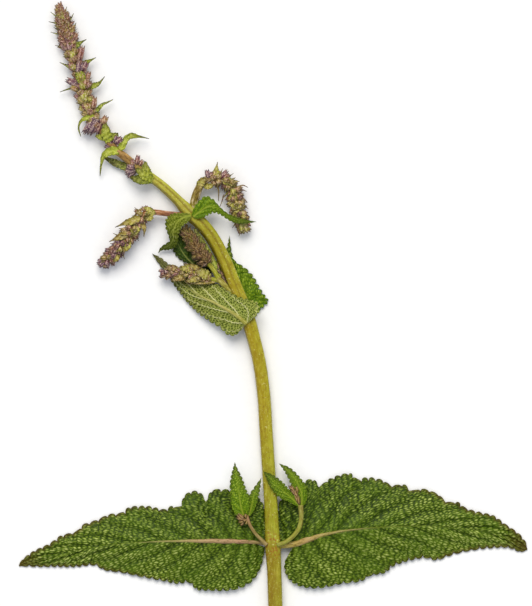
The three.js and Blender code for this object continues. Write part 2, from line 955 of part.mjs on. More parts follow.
function sideSpikeRight() {
  return besideStem(
    spike({
      course: [
        [-28.4, 37.4, 4],
        [-27.4, 43.7, 3.9],
        [-24.6, 49.2, 3.8],
        [-21.6, 50.3, 3.7],
        [-18.1, 49.9, 3.6],
        [-15.1, 48.2, 3.4],
        [-13.1, 42, 3],
        [-11.4, 35.3, 2.8],
        [-10.5, 32.6, 2.8],
      ],
      halfWidths: [1.3, 1.25, 1.1, 0.9, 0.8, 0.7],
      first: 0.38,
      count: 8,
      ratio: 0.95,
      open: 0.5,
      calyx: { length: 3.2, radius: 0.95, sizes: [1, 1, 0.9, 0.8, 0.7], opening: [1.1, 1, 0.9, 0.7, 0.5] },
      bractLength: 3.2,
        tips: {
        1: [
          { bend: [-20.2, 53.2, 4], tip: [-19.6, 55.9, 3.6], half: 1.1 },
          { bend: [-19.4, 46, 2.6], tip: [-19.3, 42.6, 1.4], half: 0.5 },
        ],
      },
      seed: 201,
    }),
  );
}

// The spike at the top of the stem. The bracts in the picture's plane have their own places.
function terminalSpike() {
  const bractAt = (bend, tip, half) => ({ bend, tip, half });
  return besideStem(
    spike({
      course: [
        [-45.9, 52.7, 3],
        [-47.7, 54, 3],
        [-51.6, 57.4, 3.1],
        [-55.3, 60.3, 3.1],
        [-59, 64.9, 3],
        [-61.8, 68.8, 3],
        [-64.5, 72.9, 3],
        [-66, 77.6, 2.9],
        [-67, 82.9, 2.9],
        [-69.2, 90, 2.8],
        [-71.5, 96, 2.6],
        [-73.9, 104, 2.3],
        [-76.1, 111.7, 2],
      ],
      halfWidths: [1.45, 1.25, 1.1, 0.95, 0.8, 0.7],
      first: 0.02,
      count: 17,
      ratio: 0.88,
      open: 0.38,
      calyx: {
        length: 3.3,
        radius: 0.95,
        sizes: [1, 1, 1.05, 1, 1, 0.95, 0.85, 0.7, 0.6],
        opening: [0.95, 0.95, 0.9, 0.85, 0.85, 0.85, 0.8, 0.7, 0.5],
      },
      bractLength: 4,
        tips: {
        1: [
          bractAt([-60.8, 59.8, 3.4], [-61, 51.2, 1.6], 1.25),
          bractAt([-51.6, 67.2, 4], [-43.8, 64.4, 2.4], 1.3),
        ],
        3: [
          bractAt([-68.9, 72.4, 3.4], [-68.2, 65.3, 1.6], 0.9),
          bractAt([-61.5, 74.8, 3.6], [-56.6, 78.1, 2.4], 0.8),
        ],
        5: [
          bractAt([-71, 82.9, 3], [-75.2, 81, 2], 0.7),
          bractAt([-61.5, 82.6, 3.2], [-59.5, 86.1, 3], 0.9),
        ],
        7: [
          bractAt([-72.7, 89.3, 3], [-75.4, 91.4, 2.4], 0.8),
          bractAt([-65.7, 92, 3], [-62.5, 93.1, 2.4], 0.8),
        ],
        9: [
          bractAt([-74.5, 96.4, 2.8], [-77, 97.4, 2.2], 0.5),
          bractAt([-68.7, 96.9, 3], [-65.8, 99.5, 2.4], 0.8),
        ],
        11: [
          bractAt([-75.8, 101.4, 2.5], [-78.4, 102, 2], 0.5),
          bractAt([-70.6, 102.6, 2.6], [-69.6, 104.8, 2.2], 0.5),
        ],
        13: [
          bractAt([-76.6, 105.8, 2.3], [-79.1, 105.8, 2], 0.45),
          bractAt([-71.8, 106.4, 2.4], [-70.6, 108.3, 2], 0.45),
        ],
      },
      seed: 1,
    }),
  );
}

// A named piece of the plant with its own colour.
function piece(name, solid, colour, roughness) {
  const mesh = solid.getMesh();
  const geometry = new THREE.BufferGeometry();
  const stride = mesh.numProp;
  const position = new Float32Array(mesh.numVert * 3);
  for (let i = 0; i < mesh.numVert; i++) {
    position.set(mesh.vertProperties.subarray(i * stride, i * stride + 3), 3 * i);
  }
  geometry.setAttribute("position", new THREE.BufferAttribute(position, 3));
  geometry.setIndex(new THREE.BufferAttribute(mesh.triVerts, 1));
  geometry.computeVertexNormals();
  const material = new THREE.MeshStandardMaterial({ color: colour, roughness, metalness: 0 });
  const made = new THREE.Mesh(geometry, material);
  made.name = name;
  return made;
}

const sage = new THREE.Group();
sage.add(
  piece("main_stem", stem, "#8d9137", 0.6),
  piece("lower_leaf_left", lowerLeafLeft(), "#3f6a2c", 0.75),
  piece("lower_leaf_right", lowerLeafRight(), "#3f6a2c", 0.75),
  piece("axil_shoot_left", axilShootLeft(), "#4a7a2a", 0.75),
  piece("axil_shoot_right", axilShootRight(), "#4a7a2a", 0.75),
  piece("upper_leaf_front", upperLeafFront(), "#84994f", 0.8),
  piece("upper_leaf_back", upperLeafBack(), "#3f7a22", 0.75),
  piece("inner_branch_leaf", innerBranchLeaf(), "#3a5f2c", 0.75),
  piece("inner_spike_upper", innerSpikeUpper(), "#6b5548", 0.75),
  piece("inner_spike_lower", innerSpikeLower(), "#86803f", 0.75),
  piece("node_leaf_left", nodeLeafLeft(), "#5a8a2e", 0.75),
  piece("node_leaf_right", nodeLeafRight(), "#3f7f2a", 0.75),
  piece("side_spike_left", sideSpikeLeft(), "#7a5a4c", 0.75),
  piece("side_spike_right", sideSpikeRight(), "#6f5a48", 0.75),
  piece("terminal_spike", terminalSpike(), "#6a5560", 0.75),
);

export default sage;
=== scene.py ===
# %% [markdown]
# This lesson dresses one cut stem of flowering sage that lies on a white surface. The solid model gives
# the places and sizes of its fifteen pieces: the square stem, its leaves and its flower spikes. A plant
# is thin, puckered and irregular, which the plain solids can't show. So every solid is replaced here by
# finer pieces that follow the same centre lines and outlines, in millimetres as in the solid model.
# Blender works in metres, so each finished mesh is scaled once, when it is made.

import math

import bpy
import numpy as np
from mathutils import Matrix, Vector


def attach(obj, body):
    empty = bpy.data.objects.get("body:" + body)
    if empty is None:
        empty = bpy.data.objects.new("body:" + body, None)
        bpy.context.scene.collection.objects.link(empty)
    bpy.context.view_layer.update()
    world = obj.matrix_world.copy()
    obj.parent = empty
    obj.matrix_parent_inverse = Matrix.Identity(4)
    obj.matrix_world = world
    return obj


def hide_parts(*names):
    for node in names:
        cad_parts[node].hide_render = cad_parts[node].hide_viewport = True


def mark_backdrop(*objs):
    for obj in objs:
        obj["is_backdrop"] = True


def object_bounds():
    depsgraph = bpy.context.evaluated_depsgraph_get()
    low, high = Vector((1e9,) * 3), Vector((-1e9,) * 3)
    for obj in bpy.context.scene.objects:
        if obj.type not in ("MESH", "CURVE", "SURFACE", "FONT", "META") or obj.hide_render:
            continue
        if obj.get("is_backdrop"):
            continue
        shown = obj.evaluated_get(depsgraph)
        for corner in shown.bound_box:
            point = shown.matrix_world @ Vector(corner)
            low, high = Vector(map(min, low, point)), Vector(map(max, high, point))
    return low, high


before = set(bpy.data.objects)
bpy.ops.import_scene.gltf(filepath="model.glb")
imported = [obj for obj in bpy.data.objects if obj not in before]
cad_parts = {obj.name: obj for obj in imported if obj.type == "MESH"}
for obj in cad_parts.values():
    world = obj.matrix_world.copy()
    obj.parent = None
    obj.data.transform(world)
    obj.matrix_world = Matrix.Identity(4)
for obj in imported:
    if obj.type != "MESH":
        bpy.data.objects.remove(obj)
cad_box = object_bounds()
MM = 0.001
print("solid model, mm:", [[round(value / MM, 1) for value in corner] for corner in cad_box])

# %% [markdown]
# The photograph looks straight down on the stem, with hardly any perspective. A scanner's lamp moves
# with its lens, which is much like a camera far above with a long lens, so that is what stands here. The
# picture is 532 by 606 dots, and one dot is about a third of a millimetre on the plant. The focal length
# could be found by trying, but it follows from the height of the camera and of the picture.

# %% Camera
DOT = 0.3528
picture_height = 606 * DOT
view_centre = (-2.5, 6.4)
camera_height = 2000.0
middle_of_plant = 3.0
camera_data = bpy.data.cameras.new("camera")
camera_data.sensor_fit = "VERTICAL"
camera_data.sensor_height = 36.0
camera_data.lens = camera_data.sensor_height * (camera_height - middle_of_plant) / picture_height
camera = bpy.data.objects.new("camera", camera_data)
camera.location = (view_centre[0] * MM, view_centre[1] * MM, camera_height * MM)
bpy.context.scene.collection.objects.link(camera)
bpy.context.scene.camera = camera
bpy.context.scene.view_settings.view_transform = "Standard"
print("focal length, mm:", round(camera_data.lens, 1))

# %% [markdown]
# Materials are small graphs of nodes. A few helpers keep them short to write. One turns a colour as it is
# read off a screen into the linear light that shaders work with. Another adds one node, sets its plain
# values and joins its inputs to the outputs of earlier nodes. Most of this plant's colours are a base
# with several tints on it, each let in by a pattern, so one more helper lays such tints over each other.

# %% Helpers for node graphs
def colour(code):
    """A screen colour such as #88aa33 as linear red, green, blue and alpha."""
    parts = [int(code[i:i + 2], 16) / 255 for i in (1, 3, 5)]
    return tuple(p / 12.92 if p <= 0.04045 else ((p + 0.055) / 1.055) ** 2.4 for p in parts) + (1.0,)


def place_stops(ramp, stops):
    """Sets a colour ramp's stops from a list of place and colour."""
    while len(ramp.elements) < len(stops):
        ramp.elements.new(0.5)
    for element, (place, code) in zip(ramp.elements, stops):
        element.position = place
        element.color = colour(code)


def add_node(tree, kind, settings=None):
    """Adds a node. A setting is a property, an input's value or source, or the stops of a colour ramp."""
    node = tree.nodes.new(kind)
    for key, value in (settings or {}).items():
        if isinstance(value, bpy.types.NodeSocket):
            tree.links.new(value, node.inputs[key])
        elif key == "stops":
            place_stops(node.color_ramp, value)
        elif isinstance(key, str) and hasattr(node, key):
            setattr(node, key, value)
        else:
            node.inputs[key].default_value = value
    return node


def new_material(name):
    """An empty material with its output node, ready for a shader."""
    material = bpy.data.materials.new(name)
    material.use_nodes = True
    material.node_tree.nodes.clear()
    return material, add_node(material.node_tree, "ShaderNodeOutputMaterial")


def layered(tree, base, tints):
    """Lays tints over a colour in turn. A row is a pattern, two values of it, the tint's shares there, and
    the tint itself, as a code or from a node."""
    for pattern, low, high, first, last, tint in tints:
        share = add_node(tree, "ShaderNodeMapRange", {0: pattern, 1: low, 2: high, 3: first, 4: last})
        given = colour(tint) if isinstance(tint, str) else tint
        mixed = add_node(tree, "ShaderNodeMix", {"data_type": "RGBA", 0: share.outputs[0], 6: base, 7: given})
        base = mixed.outputs[2]
    return base


def soft_skin(tree, output, tone, height, strength, depth, roughness, gloss):
    """Ends a plant's material: its colour on a dull shader, with a bump of a depth in millimetres."""
    bump = add_node(tree, "ShaderNodeBump", {"Strength": strength, "Distance": depth * MM, "Height": height})
    shader = add_node(tree, "ShaderNodeBsdfPrincipled", {
        "Roughness": roughness, "Specular IOR Level": gloss, "Base Color": tone, "Normal": bump.outputs[0]})
    tree.links.new(shader.outputs[0], output.inputs["Surface"])


print("middle grey in linear light:", round(colour("#808080")[0], 3))

# %% [markdown]
# The floor is a sheet of plain white. A soft even sky and one very broad sun make it come out pure white.
# The sun stands towards the top of the picture, so faint soft shadows fall below the leaves as in the
# photograph. The sky is a little blue and the sun a little warm, which turns the shadows blue-grey. A small
# hard lamp would be simpler to set, but it draws sharp shadows, which a scanner's long lamp never does.

# %% Floor and light
def white_floor(half_width):
    """A flat white square just under the surface that the stem lies on: plain, bright and matt."""
    material, output = new_material("white scanner sheet")
    tree = material.node_tree
    place = add_node(tree, "ShaderNodeTexCoord").outputs["Object"]
    grain = add_node(tree, "ShaderNodeTexNoise", {"Scale": 400.0, "Vector": place}).outputs["Fac"]
    tone = add_node(tree, "ShaderNodeValToRGB", {"Fac": grain, "stops": [(0.3, "#f4f4f5"), (0.7, "#f7f7f7")]})
    shader = add_node(tree, "ShaderNodeBsdfPrincipled", {
        "Roughness": 0.9, "Base Color": tone.outputs["Color"]})
    tree.links.new(shader.outputs[0], output.inputs["Surface"])
    low = -0.05 * MM
    corners = [(-half_width, -half_width, low), (half_width, -half_width, low),
               (half_width, half_width, low), (-half_width, half_width, low)]
    mesh = bpy.data.meshes.new("floor")
    mesh.from_pydata(corners, [], [(0, 1, 2, 3)])
    mesh.materials.append(material)
    floor = bpy.data.objects.new("floor", mesh)
    bpy.context.scene.collection.objects.link(floor)
    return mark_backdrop(floor)


white_floor(4.0)
world = bpy.data.worlds.new("soft sky")
world.use_nodes = True
sky = world.node_tree.nodes["Background"]
sky.inputs["Color"].default_value = colour("#f2f7ff")
sky.inputs["Strength"].default_value = 0.62
bpy.context.scene.world = world
lamp = bpy.data.lights.new("lamp", "SUN")
lamp.energy = 2.35
lamp.angle = math.radians(40)
lamp.color = colour("#fffaf0")[:3]
sun = bpy.data.objects.new("lamp", lamp)
sun.rotation_euler = (math.radians(-36), math.radians(-6), 0)
bpy.context.scene.collection.objects.link(sun)
print("the sun looks", round(math.degrees(lamp.angle)), "degrees wide")

# %% [markdown]
# Stem, stalks, ribs and margins all run along smooth lines through a few points. The line is the same
# kind of curve as in the solid model, so the finer pieces lie where the solids do. Curve objects could do
# this too, but here the points have to carry on into grids and rings. So the line is sampled densely once,
# and then any share of its length can be looked up.

# %% Smooth courses
def course_of(points, even=False):
    """Dense points on a smooth curve through the given ones. Even spacing suits evenly placed points."""
    given = np.array(points, float)
    padded = np.vstack([2 * given[0] - given[1], given, 2 * given[-1] - given[-2]])
    steps = np.linspace(0, 1, 33)[:-1, None]
    pieces = []
    for before, start, end, after in zip(padded, padded[1:], padded[2:], padded[3:]):
        gaps = [np.linalg.norm(b - a) ** 0.5 for a, b in ((before, start), (start, end), (end, after))]
        if even:
            gaps = [1.0, 1.0, 1.0]
        first, middle, last = gaps
        leave = (start - before) / first - (end - before) / (first + middle) + (end - start) / middle
        arrive = (end - start) / middle - (after - start) / (middle + last) + (after - end) / last
        leave, arrive = leave * middle, arrive * middle
        pieces.append(start + leave * steps + (3 * (end - start) - 2 * leave - arrive) * steps**2
                      + (2 * (start - end) + leave + arrive) * steps**3)
    return np.vstack([*pieces, given[-1:]])


def length_of(course):
    """The length of a course in millimetres."""
    return float(np.linalg.norm(np.diff(course, axis=0), axis=1).sum())


def at(course, share):
    """Points at shares of a course's length."""
    runs = np.concatenate([[0], np.cumsum(np.linalg.norm(np.diff(course, axis=0), axis=1))])
    place = np.asarray(share) * runs[-1]
    return np.stack([np.interp(place, runs, course[:, axis]) for axis in range(3)], axis=-1)


arch = course_of([[0, 0, 0], [10, 5, 0], [20, 0, 0]])
print("a course over an arch 20 wide and 5 high is", round(length_of(arch), 1), "long")


# %% Directions and values along a course
def unit(vectors):
    """Vectors scaled to length one."""
    return vectors / np.maximum(np.linalg.norm(vectors, axis=-1, keepdims=True), 1e-9)


def heading(course, share):
    """Directions of travel at shares of a course's length."""
    share = np.asarray(share, float)
    return unit(at(course, np.minimum(share + 0.004, 1)) - at(course, np.maximum(share - 0.004, 0)))


UP = np.array([0.0, 0.0, 1.0])


def across(direction, hint=UP):
    """The directions across a course: left of travel, and the one nearest the hint."""
    left = unit(np.cross(hint, direction))
    return left, np.cross(direction, left)


def along(values, share):
    """The value at a share of a list of evenly spaced values."""
    return np.interp(share, np.linspace(0, 1, len(values)), values)


def scatter_of(*keys):
    """A repeatable number between 0 and 1 for each set of keys."""
    mixed = sum(np.asarray(key, float) * factor for key, factor in zip(keys, (127.1, 311.7, 74.7)))
    value = np.sin(mixed) * 43758.5453
    return value - np.floor(value)


print("at its top the arch heads", heading(arch, 0.5).round(2).tolist())

# %% [markdown]
# A piece is gathered as closed shells: points, faces and a few numbers at each point, such as how near it
# lies to a vein. Materials read those numbers by name, so that a pattern follows the surface. A pattern
# on plain coordinates would be less work, but it would run straight across every bend.

# %% Gathering shells into a piece
class Shells:
    """Closed shells for one piece, in millimetres, with named numbers at every point."""

    def __init__(self):
        self.points = []
        self.faces = []
        self.values = {}
        self.count = 0

    def add(self, points, faces, **values):
        """Adds a shell. A value is one number for the whole shell or one for each point."""
        points = np.asarray(points, float).reshape(-1, 3)
        self.points.append(points)
        for group in faces:
            self.faces.extend((np.asarray(group) + self.count).tolist())
        for name, value in values.items():
            filled = np.broadcast_to(np.asarray(value, float).ravel(), (len(points),))
            self.values.setdefault(name, []).append((self.count, filled))
        self.count += len(points)

    def make(self, name, material, node):
        """The finished piece: it rides on the plant, replaces its solid and takes a slot's finish."""
        mesh = bpy.data.meshes.new(name)
        mesh.from_pydata((np.vstack(self.points) * MM).tolist(), [], self.faces)
        for label, parts in self.values.items():
            data = np.zeros(self.count, np.float32)
            for start, filled in parts:
                data[start:start + len(filled)] = filled
            mesh.attributes.new(label, "FLOAT", "POINT").data.foreach_set("value", data)
        return finish_piece(name, mesh, material, node)


def finish_piece(name, mesh, material, node):
    """Puts a mesh into the scene as a piece of the plant."""
    mesh.polygons.foreach_set("use_smooth", [True] * len(mesh.polygons))
    mesh.materials.clear()
    mesh.materials.append(material)
    mesh.validate()
    piece = bpy.data.objects.new(name, mesh)
    bpy.context.scene.collection.objects.link(piece)
    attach(piece, "root")
    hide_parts(node)
    triangles = sum(len(polygon.vertices) - 2 for polygon in mesh.polygons)
    print(f"{name}: {triangles} triangles")
    return piece


# %% [markdown]
# Every part of the plant is either a tube, such as stem, stalk and bud, or a thin sheet, such as leaf and
# bract. Both are made closed, with caps and edges, so that nothing is hollow or torn from any side.

# %% Closed tubes
def tube_shell(rings, tip=None):
    """Faces and points of a closed tube through rings of equal length, capped by a middle point."""
    rings = np.asarray(rings, float)
    stations, sides = rings.shape[:2]
    index = np.arange(stations * sides).reshape(stations, sides)
    turned = np.roll(index, -1, axis=1)
    walls = np.stack([index[:-1], turned[:-1], turned[1:], index[1:]], axis=-1).reshape(-1, 4)
    start, end = stations * sides, stations * sides + 1
    foot = np.stack([np.full(sides, start), turned[0], index[0]], axis=-1)
    head = np.stack([np.full(sides, end), index[-1], turned[-1]], axis=-1)
    last = rings[-1].mean(axis=0) if tip is None else np.asarray(tip, float)
    points = np.vstack([rings.reshape(-1, 3), rings[0].mean(axis=0), last])
    return points, [walls, foot, head]


def round_tube(course, halves, stations, sides):
    """A tube along a course, with its half width from a list, and the coordinates that its grain follows."""
    shares = np.linspace(0, 1, stations + 1)
    left, face = across(heading(course, shares))
    turn = np.linspace(0, 2 * math.pi, sides, endpoint=False) + math.pi / sides
    half = along(halves, shares)[:, None, None]
    rings = at(course, shares)[:, None] + half * (np.cos(turn)[:, None] * left[:, None]
                                                  + np.sin(turn)[:, None] * face[:, None])
    points, faces = tube_shell(rings)
    run = shares * length_of(course)
    ends = [0.0, 0.0]
    return points, faces, {
        "reach": np.concatenate([np.repeat(shares, sides), [0.0, 1.0]]),
        "run": np.concatenate([np.repeat(run, sides), run[[0, -1]]]),
        "around": np.concatenate([np.tile(np.cos(turn), stations + 1), ends]),
        "aside": np.concatenate([np.tile(np.sin(turn), stations + 1), ends]),
    }


short_tube = round_tube(course_of([[0, 0, 0], [0, 10, 0]]), [1.0, 0.5], stations=4, sides=8)
print("a short tube has", len(short_tube[0]), "points and", sum(map(len, short_tube[1])), "faces")


# %% Closed sheets
def sheet_shell(top, bottom):
    """Points and faces of a closed thin body between two grids of equal shape."""
    rows, columns = top.shape[:2]
    index = np.arange(rows * columns).reshape(rows, columns)
    under = index + rows * columns

    def squares(grid):
        return np.stack([grid[:-1, :-1], grid[1:, :-1], grid[1:, 1:], grid[:-1, 1:]], axis=-1).reshape(-1, 4)

    loop = np.concatenate([index[:-1, 0], index[-1, :-1], index[:0:-1, -1], index[0, :0:-1]])
    after = np.roll(loop, -1)
    shift = rows * columns
    walls = np.stack([after, loop, loop + shift, after + shift], axis=-1)
    faces = np.vstack([squares(index), squares(under)[:, ::-1], walls])
    points = np.vstack([top.reshape(-1, 3), bottom.reshape(-1, 3)])
    corner = points[faces[:(rows - 1) * (columns - 1)]]
    facing = np.cross(corner[:, 2] - corner[:, 0], corner[:, 3] - corner[:, 1])
    outward = (top - bottom)[:-1, :-1].reshape(-1, 3)
    if (facing * outward).sum() < 0:
        faces = faces[:, ::-1]
    return points, [faces]


short_sheet = sheet_shell(np.ones((3, 4, 3)), np.zeros((3, 4, 3)))
print("a sheet of 3 by 4 points has", len(short_sheet[1][0]), "faces")


# %% [markdown]
# The stem is square with a shallow groove along each side, as in all plants of the mint family. Its solid
# is a plain loft of twelve points. Here the section is a rounded square with the grooves pressed in, swept
# through the same rows, with the fine uneven ridges of a growing stem. It swells at the three nodes. The
# grooves are faint low down and deep above, where the stem also turns a little about its own length.

# %% The stem's rows: x, y, height of the underside, half width
STEM_ROWS = [
    [1.2, -112, 0, 2.5], [0.8, -100.5, 0, 2.5], [0.4, -88, 0, 2.5], [-0.1, -79, 0, 2.75],
    [-0.4, -73, 0, 2.45], [-0.8, -64, 0, 2.35], [-1.5, -53.5, 0, 2.3], [-2.4, -40, 0, 2.3],
    [-3.2, -27, 0, 2.25], [-4.9, -14.5, 0.6, 2.25], [-6.9, -6, 1.4, 2.25], [-9, 1.2, 2, 2.4],
    [-12.9, 10.9, 2, 2.2], [-16.5, 19.8, 2, 2.2], [-20.9, 28.6, 2, 2.15], [-25.6, 34.6, 2, 2.15],
    [-29.4, 38, 1.9, 2.3], [-33.3, 42.3, 1.8, 1.6], [-38, 46.8, 1.6, 1.5], [-41.8, 49.8, 1.55, 1.45],
    [-45.2, 52.2, 1.55, 1.45],
]
print("rows along the stem:", len(STEM_ROWS))

# %% The stem's surface
def square_section(turn, spin, groove, squareness=4.5):
    """The radius of a rounded, grooved square that is turned by an angle, and how deep each groove lies."""
    turned = turn - spin
    across_it, along_it = np.abs(np.cos(turned)), np.abs(np.sin(turned))
    radius = (across_it**squareness + along_it**squareness) ** (-1 / squareness)
    off_middle = (turned + math.pi / 4) % (math.pi / 2) - math.pi / 4
    hollow = np.exp(-((off_middle / 0.24) ** 2)) * groove
    return radius * (1 - 0.13 * hollow), hollow


def stem_shell(stations=380, sides=44):
    """The stem's points and faces, its groove depth and the coordinates that its grain follows."""
    rows = np.array(STEM_ROWS)
    dense = course_of([[x, y, 0] for x, y, _, _ in STEM_ROWS], even=True)
    place = np.linspace(0, len(dense) - 1, stations + 1)
    centre = np.stack([np.interp(place, np.arange(len(dense)), dense[:, axis]) for axis in range(3)], axis=-1)
    share = place / (len(dense) - 1)
    half = along(rows[:, 3], share)
    centre[:, 2] = along(rows[:, 2], share) + half
    ahead = unit(np.gradient(centre * [1, 1, 0], axis=0))
    left, face = across(ahead)
    turn = np.linspace(0, 2 * math.pi, sides, endpoint=False)
    spin = along([0.0, 0.0, 0.0, 0.12, 0.3, 0.36, 0.3], share)[:, None]
    groove = along([0.15, 0.1, 0.15, 0.3, 0.9, 1.0, 0.8], share)[:, None]
    radius, hollow = square_section(turn[None], spin, groove)
    run = np.concatenate([[0], np.cumsum(np.linalg.norm(np.diff(centre, axis=0), axis=1))])
    broad_ridge = 0.012 * np.sin(7 * turn[None] + 0.21 * run[:, None])
    fine_ridge = 0.01 * np.sin(11 * turn[None] - 0.5 * run[:, None])
    size = half[:, None] * np.minimum(radius * (1 + broad_ridge + fine_ridge), 1.2)
    x, y = size * np.cos(turn), size * np.sin(turn)
    y = np.clip(y, -half[:, None], 1.08 * half[:, None])
    rings = centre[:, None] + x[..., None] * left[:, None] + y[..., None] * face[:, None]
    rings[..., 2] = np.maximum(rings[..., 2], 0)
    points, faces = tube_shell(rings)
    ends = [0.0, 0.0]
    return points, faces, {
        "groove": np.concatenate([hollow.ravel(), ends]),
        "run": np.concatenate([np.repeat(run, sides), [0, run[-1]]]),
        "around": np.concatenate([np.tile(np.cos(turn), stations + 1), ends]),
        "aside": np.concatenate([np.tile(np.sin(turn), stations + 1), ends]),
    }


stem_points, stem_faces, stem_values = stem_shell()
print("points on the stem:", len(stem_points))

# %% [markdown]
# The stem's skin is olive-gold and mottled, browner at the cut end, greener above the leaf pair and yellow
# higher up. One side gets painted shade, the other painted light that also makes it greener, and the
# grooves get painted shade. Its streaks are noise on coordinates that run with the stem and are stretched
# lengthwise, so they follow its bends. The leaf node carries fine red speckles.
# Flecks and fuzz use plain noise at their real grain of 0.7 and 0.35 mm, because they have no direction.

# %% Stem material
def stem_material(name, length, shades, node_run):
    """Gives the eye a mottled olive stem with streaks, flecks and a speckled node, with painted shade in
    its grooves and on one side and painted light on the other.
    """
    material, output = new_material(name)
    tree = material.node_tree
    kept = {label: add_node(tree, "ShaderNodeAttribute", {"attribute_name": label}).outputs["Fac"]
            for label in ("run", "groove", "around", "aside")}
    place = add_node(tree, "ShaderNodeTexCoord").outputs["Object"]
    share = add_node(tree, "ShaderNodeMath", {"operation": "DIVIDE", 0: kept["run"], 1: length}).outputs[0]
    base = add_node(tree, "ShaderNodeValToRGB", {"Fac": share, "stops": shades}).outputs["Color"]
    slow = add_node(tree, "ShaderNodeMath", {"operation": "MULTIPLY", 0: kept["run"], 1: 0.09}).outputs[0]
    grain = add_node(tree, "ShaderNodeCombineXYZ", {"X": kept["around"], "Y": kept["aside"], "Z": slow})
    streaks = add_node(tree, "ShaderNodeTexNoise", {
        "Scale": 4.0, "Detail": 4.0, "Vector": grain.outputs[0]}).outputs["Fac"]
    mottle, flecks, fuzz = [
        add_node(tree, "ShaderNodeTexNoise", {"Scale": 1 / (size * MM), "Detail": detail, "Vector": place})
        .outputs["Fac"] for size, detail in ((2.2, 4.0), (0.7, 2.0), (0.35, 2.0))]
    off_node = add_node(tree, "ShaderNodeMath", {"operation": "SUBTRACT", 0: kept["run"], 1: node_run})
    gap = add_node(tree, "ShaderNodeMath", {"operation": "ABSOLUTE", 0: off_node.outputs[0]}).outputs[0]
    near = add_node(tree, "ShaderNodeMapRange", {0: gap, 1: 2.0, 2: 6.0, 3: 1.0, 4: 0.0}).outputs[0]
    red = add_node(tree, "ShaderNodeMapRange", {0: flecks, 1: 0.5, 2: 0.62, 3: 0.0, 4: 0.6}).outputs[0]
    speckles = add_node(tree, "ShaderNodeMath", {"operation": "MULTIPLY", 0: near, 1: red}).outputs[0]
    # The first tint is painted light on one side of the stem, the second painted shade on the other.
    tone = layered(tree, base, [
        (kept["around"], 0.2, -0.9, 0.0, 0.4, "#a9ae30"), (kept["around"], 0.0, 1.0, 0.0, 0.35, "#7d6210"),
        (streaks, 0.5, 0.72, 0.0, 0.5, "#bdb544"), (streaks, 0.48, 0.3, 0.0, 0.5, "#80640c"),
        # The groove tint is painted shade in the grooves.
        (mottle, 0.52, 0.7, 0.0, 0.4, "#866a12"), (kept["groove"], 0.2, 0.9, 0.0, 0.7, "#6e560a"),
        (flecks, 0.62, 0.7, 0.0, 0.55, "#6f4a14"), (flecks, 0.36, 0.28, 0.0, 0.6, "#d6cf86"),
        (speckles, 0.0, 1.0, 0.0, 1.0, "#93401c"),
    ])
    soft_skin(tree, output, tone, fuzz, strength=0.35, depth=0.12, roughness=0.45, gloss=0.2)
    return material


STEM_LENGTH = 190.0
LEAF_NODE_RUN = 33.0
stem_skin = stem_material(
    "olive stem skin", STEM_LENGTH,
    [(0.0, "#857610"), (0.15, "#8a7a10"), (0.19, "#8f9016"), (0.3, "#929014"), (0.42, "#9e8c10"),
     (0.6, "#a08e14"), (0.78, "#948e18"), (0.9, "#aca63a"), (1.0, "#bcb654")], LEAF_NODE_RUN)
print("nodes in the stem's skin:", len(stem_skin.node_tree.nodes))

# %% The stem
stem_shells = Shells()
stem_shells.add(stem_points, stem_faces, **stem_values)
stem = stem_shells.make("stem", stem_skin, "main_stem")

# %% [markdown]
# A sage leaf is puckered: between the veins the blade bulges up in thousands of small cushions. On the
# large leaves each is about 0.7 mm wide and twice as long, and lies forward like the side veins. A texture
# would look painted from the side, so the cushions are real relief. They are the cells round scattered
# points, which gives the uneven net of real veins without drawing a single vein.

# %% Cushions between the net veins
def wander(x, y, seed):
    """A smooth number between about -1 and 1 that wanders over the plane, to bend what is too straight."""
    total = np.zeros(np.broadcast(x, y).shape)
    for turn in range(5):
        angle, phase = 2 * math.pi * scatter_of(turn, seed), 2 * math.pi * scatter_of(seed, turn, 3)
        pace = 0.8 + 0.55 * turn
        total = total + np.sin(pace * (x * math.cos(angle) + y * math.sin(angle)) + phase) / (1 + 0.6 * turn)
    return total / 1.8


def cushions(x, y, seed):
    """Cells of about one unit. For each place: its rise, how near an edge it lies, and its cell's number."""
    nearest, second = np.full(x.shape, 9.0), np.full(x.shape, 9.0)
    number = np.zeros(x.shape)
    column, row = np.floor(x), np.floor(y)
    for step_x in (-1, 0, 1):
        for step_y in (-1, 0, 1):
            cell_x, cell_y = column + step_x, row + step_y
            point_x = cell_x + 0.5 + 0.8 * (scatter_of(cell_x, cell_y, seed) - 0.5)
            point_y = cell_y + 0.5 + 0.8 * (scatter_of(cell_y, cell_x, seed + 5) - 0.5)
            distance = np.hypot(x - point_x, y - point_y)
            number = np.where(distance < nearest, scatter_of(cell_x, cell_y, seed + 9), number)
            second = np.minimum(second, np.maximum(nearest, distance))
            nearest = np.minimum(nearest, distance)
    gap = second - nearest
    dome = np.clip(gap / 0.75, 0, 1) ** 0.85 * (1 - 0.55 * np.clip(nearest, 0, 1) ** 1.5)
    return dome, 1 - np.clip(gap / 0.22, 0, 1), number


rise, _, _ = cushions(*np.meshgrid(np.linspace(0, 6, 120), np.linspace(0, 6, 120)), seed=1)
print("cushions rise from", round(float(rise.min()), 2), "to", round(float(rise.max()), 2))

# %% [markdown]
# A blade starts as a grid that is ruled from the midrib out to the margin, so its rows follow the leaf
# however it bends. The margin is cut into rounded teeth by drawing the outermost points in between them.

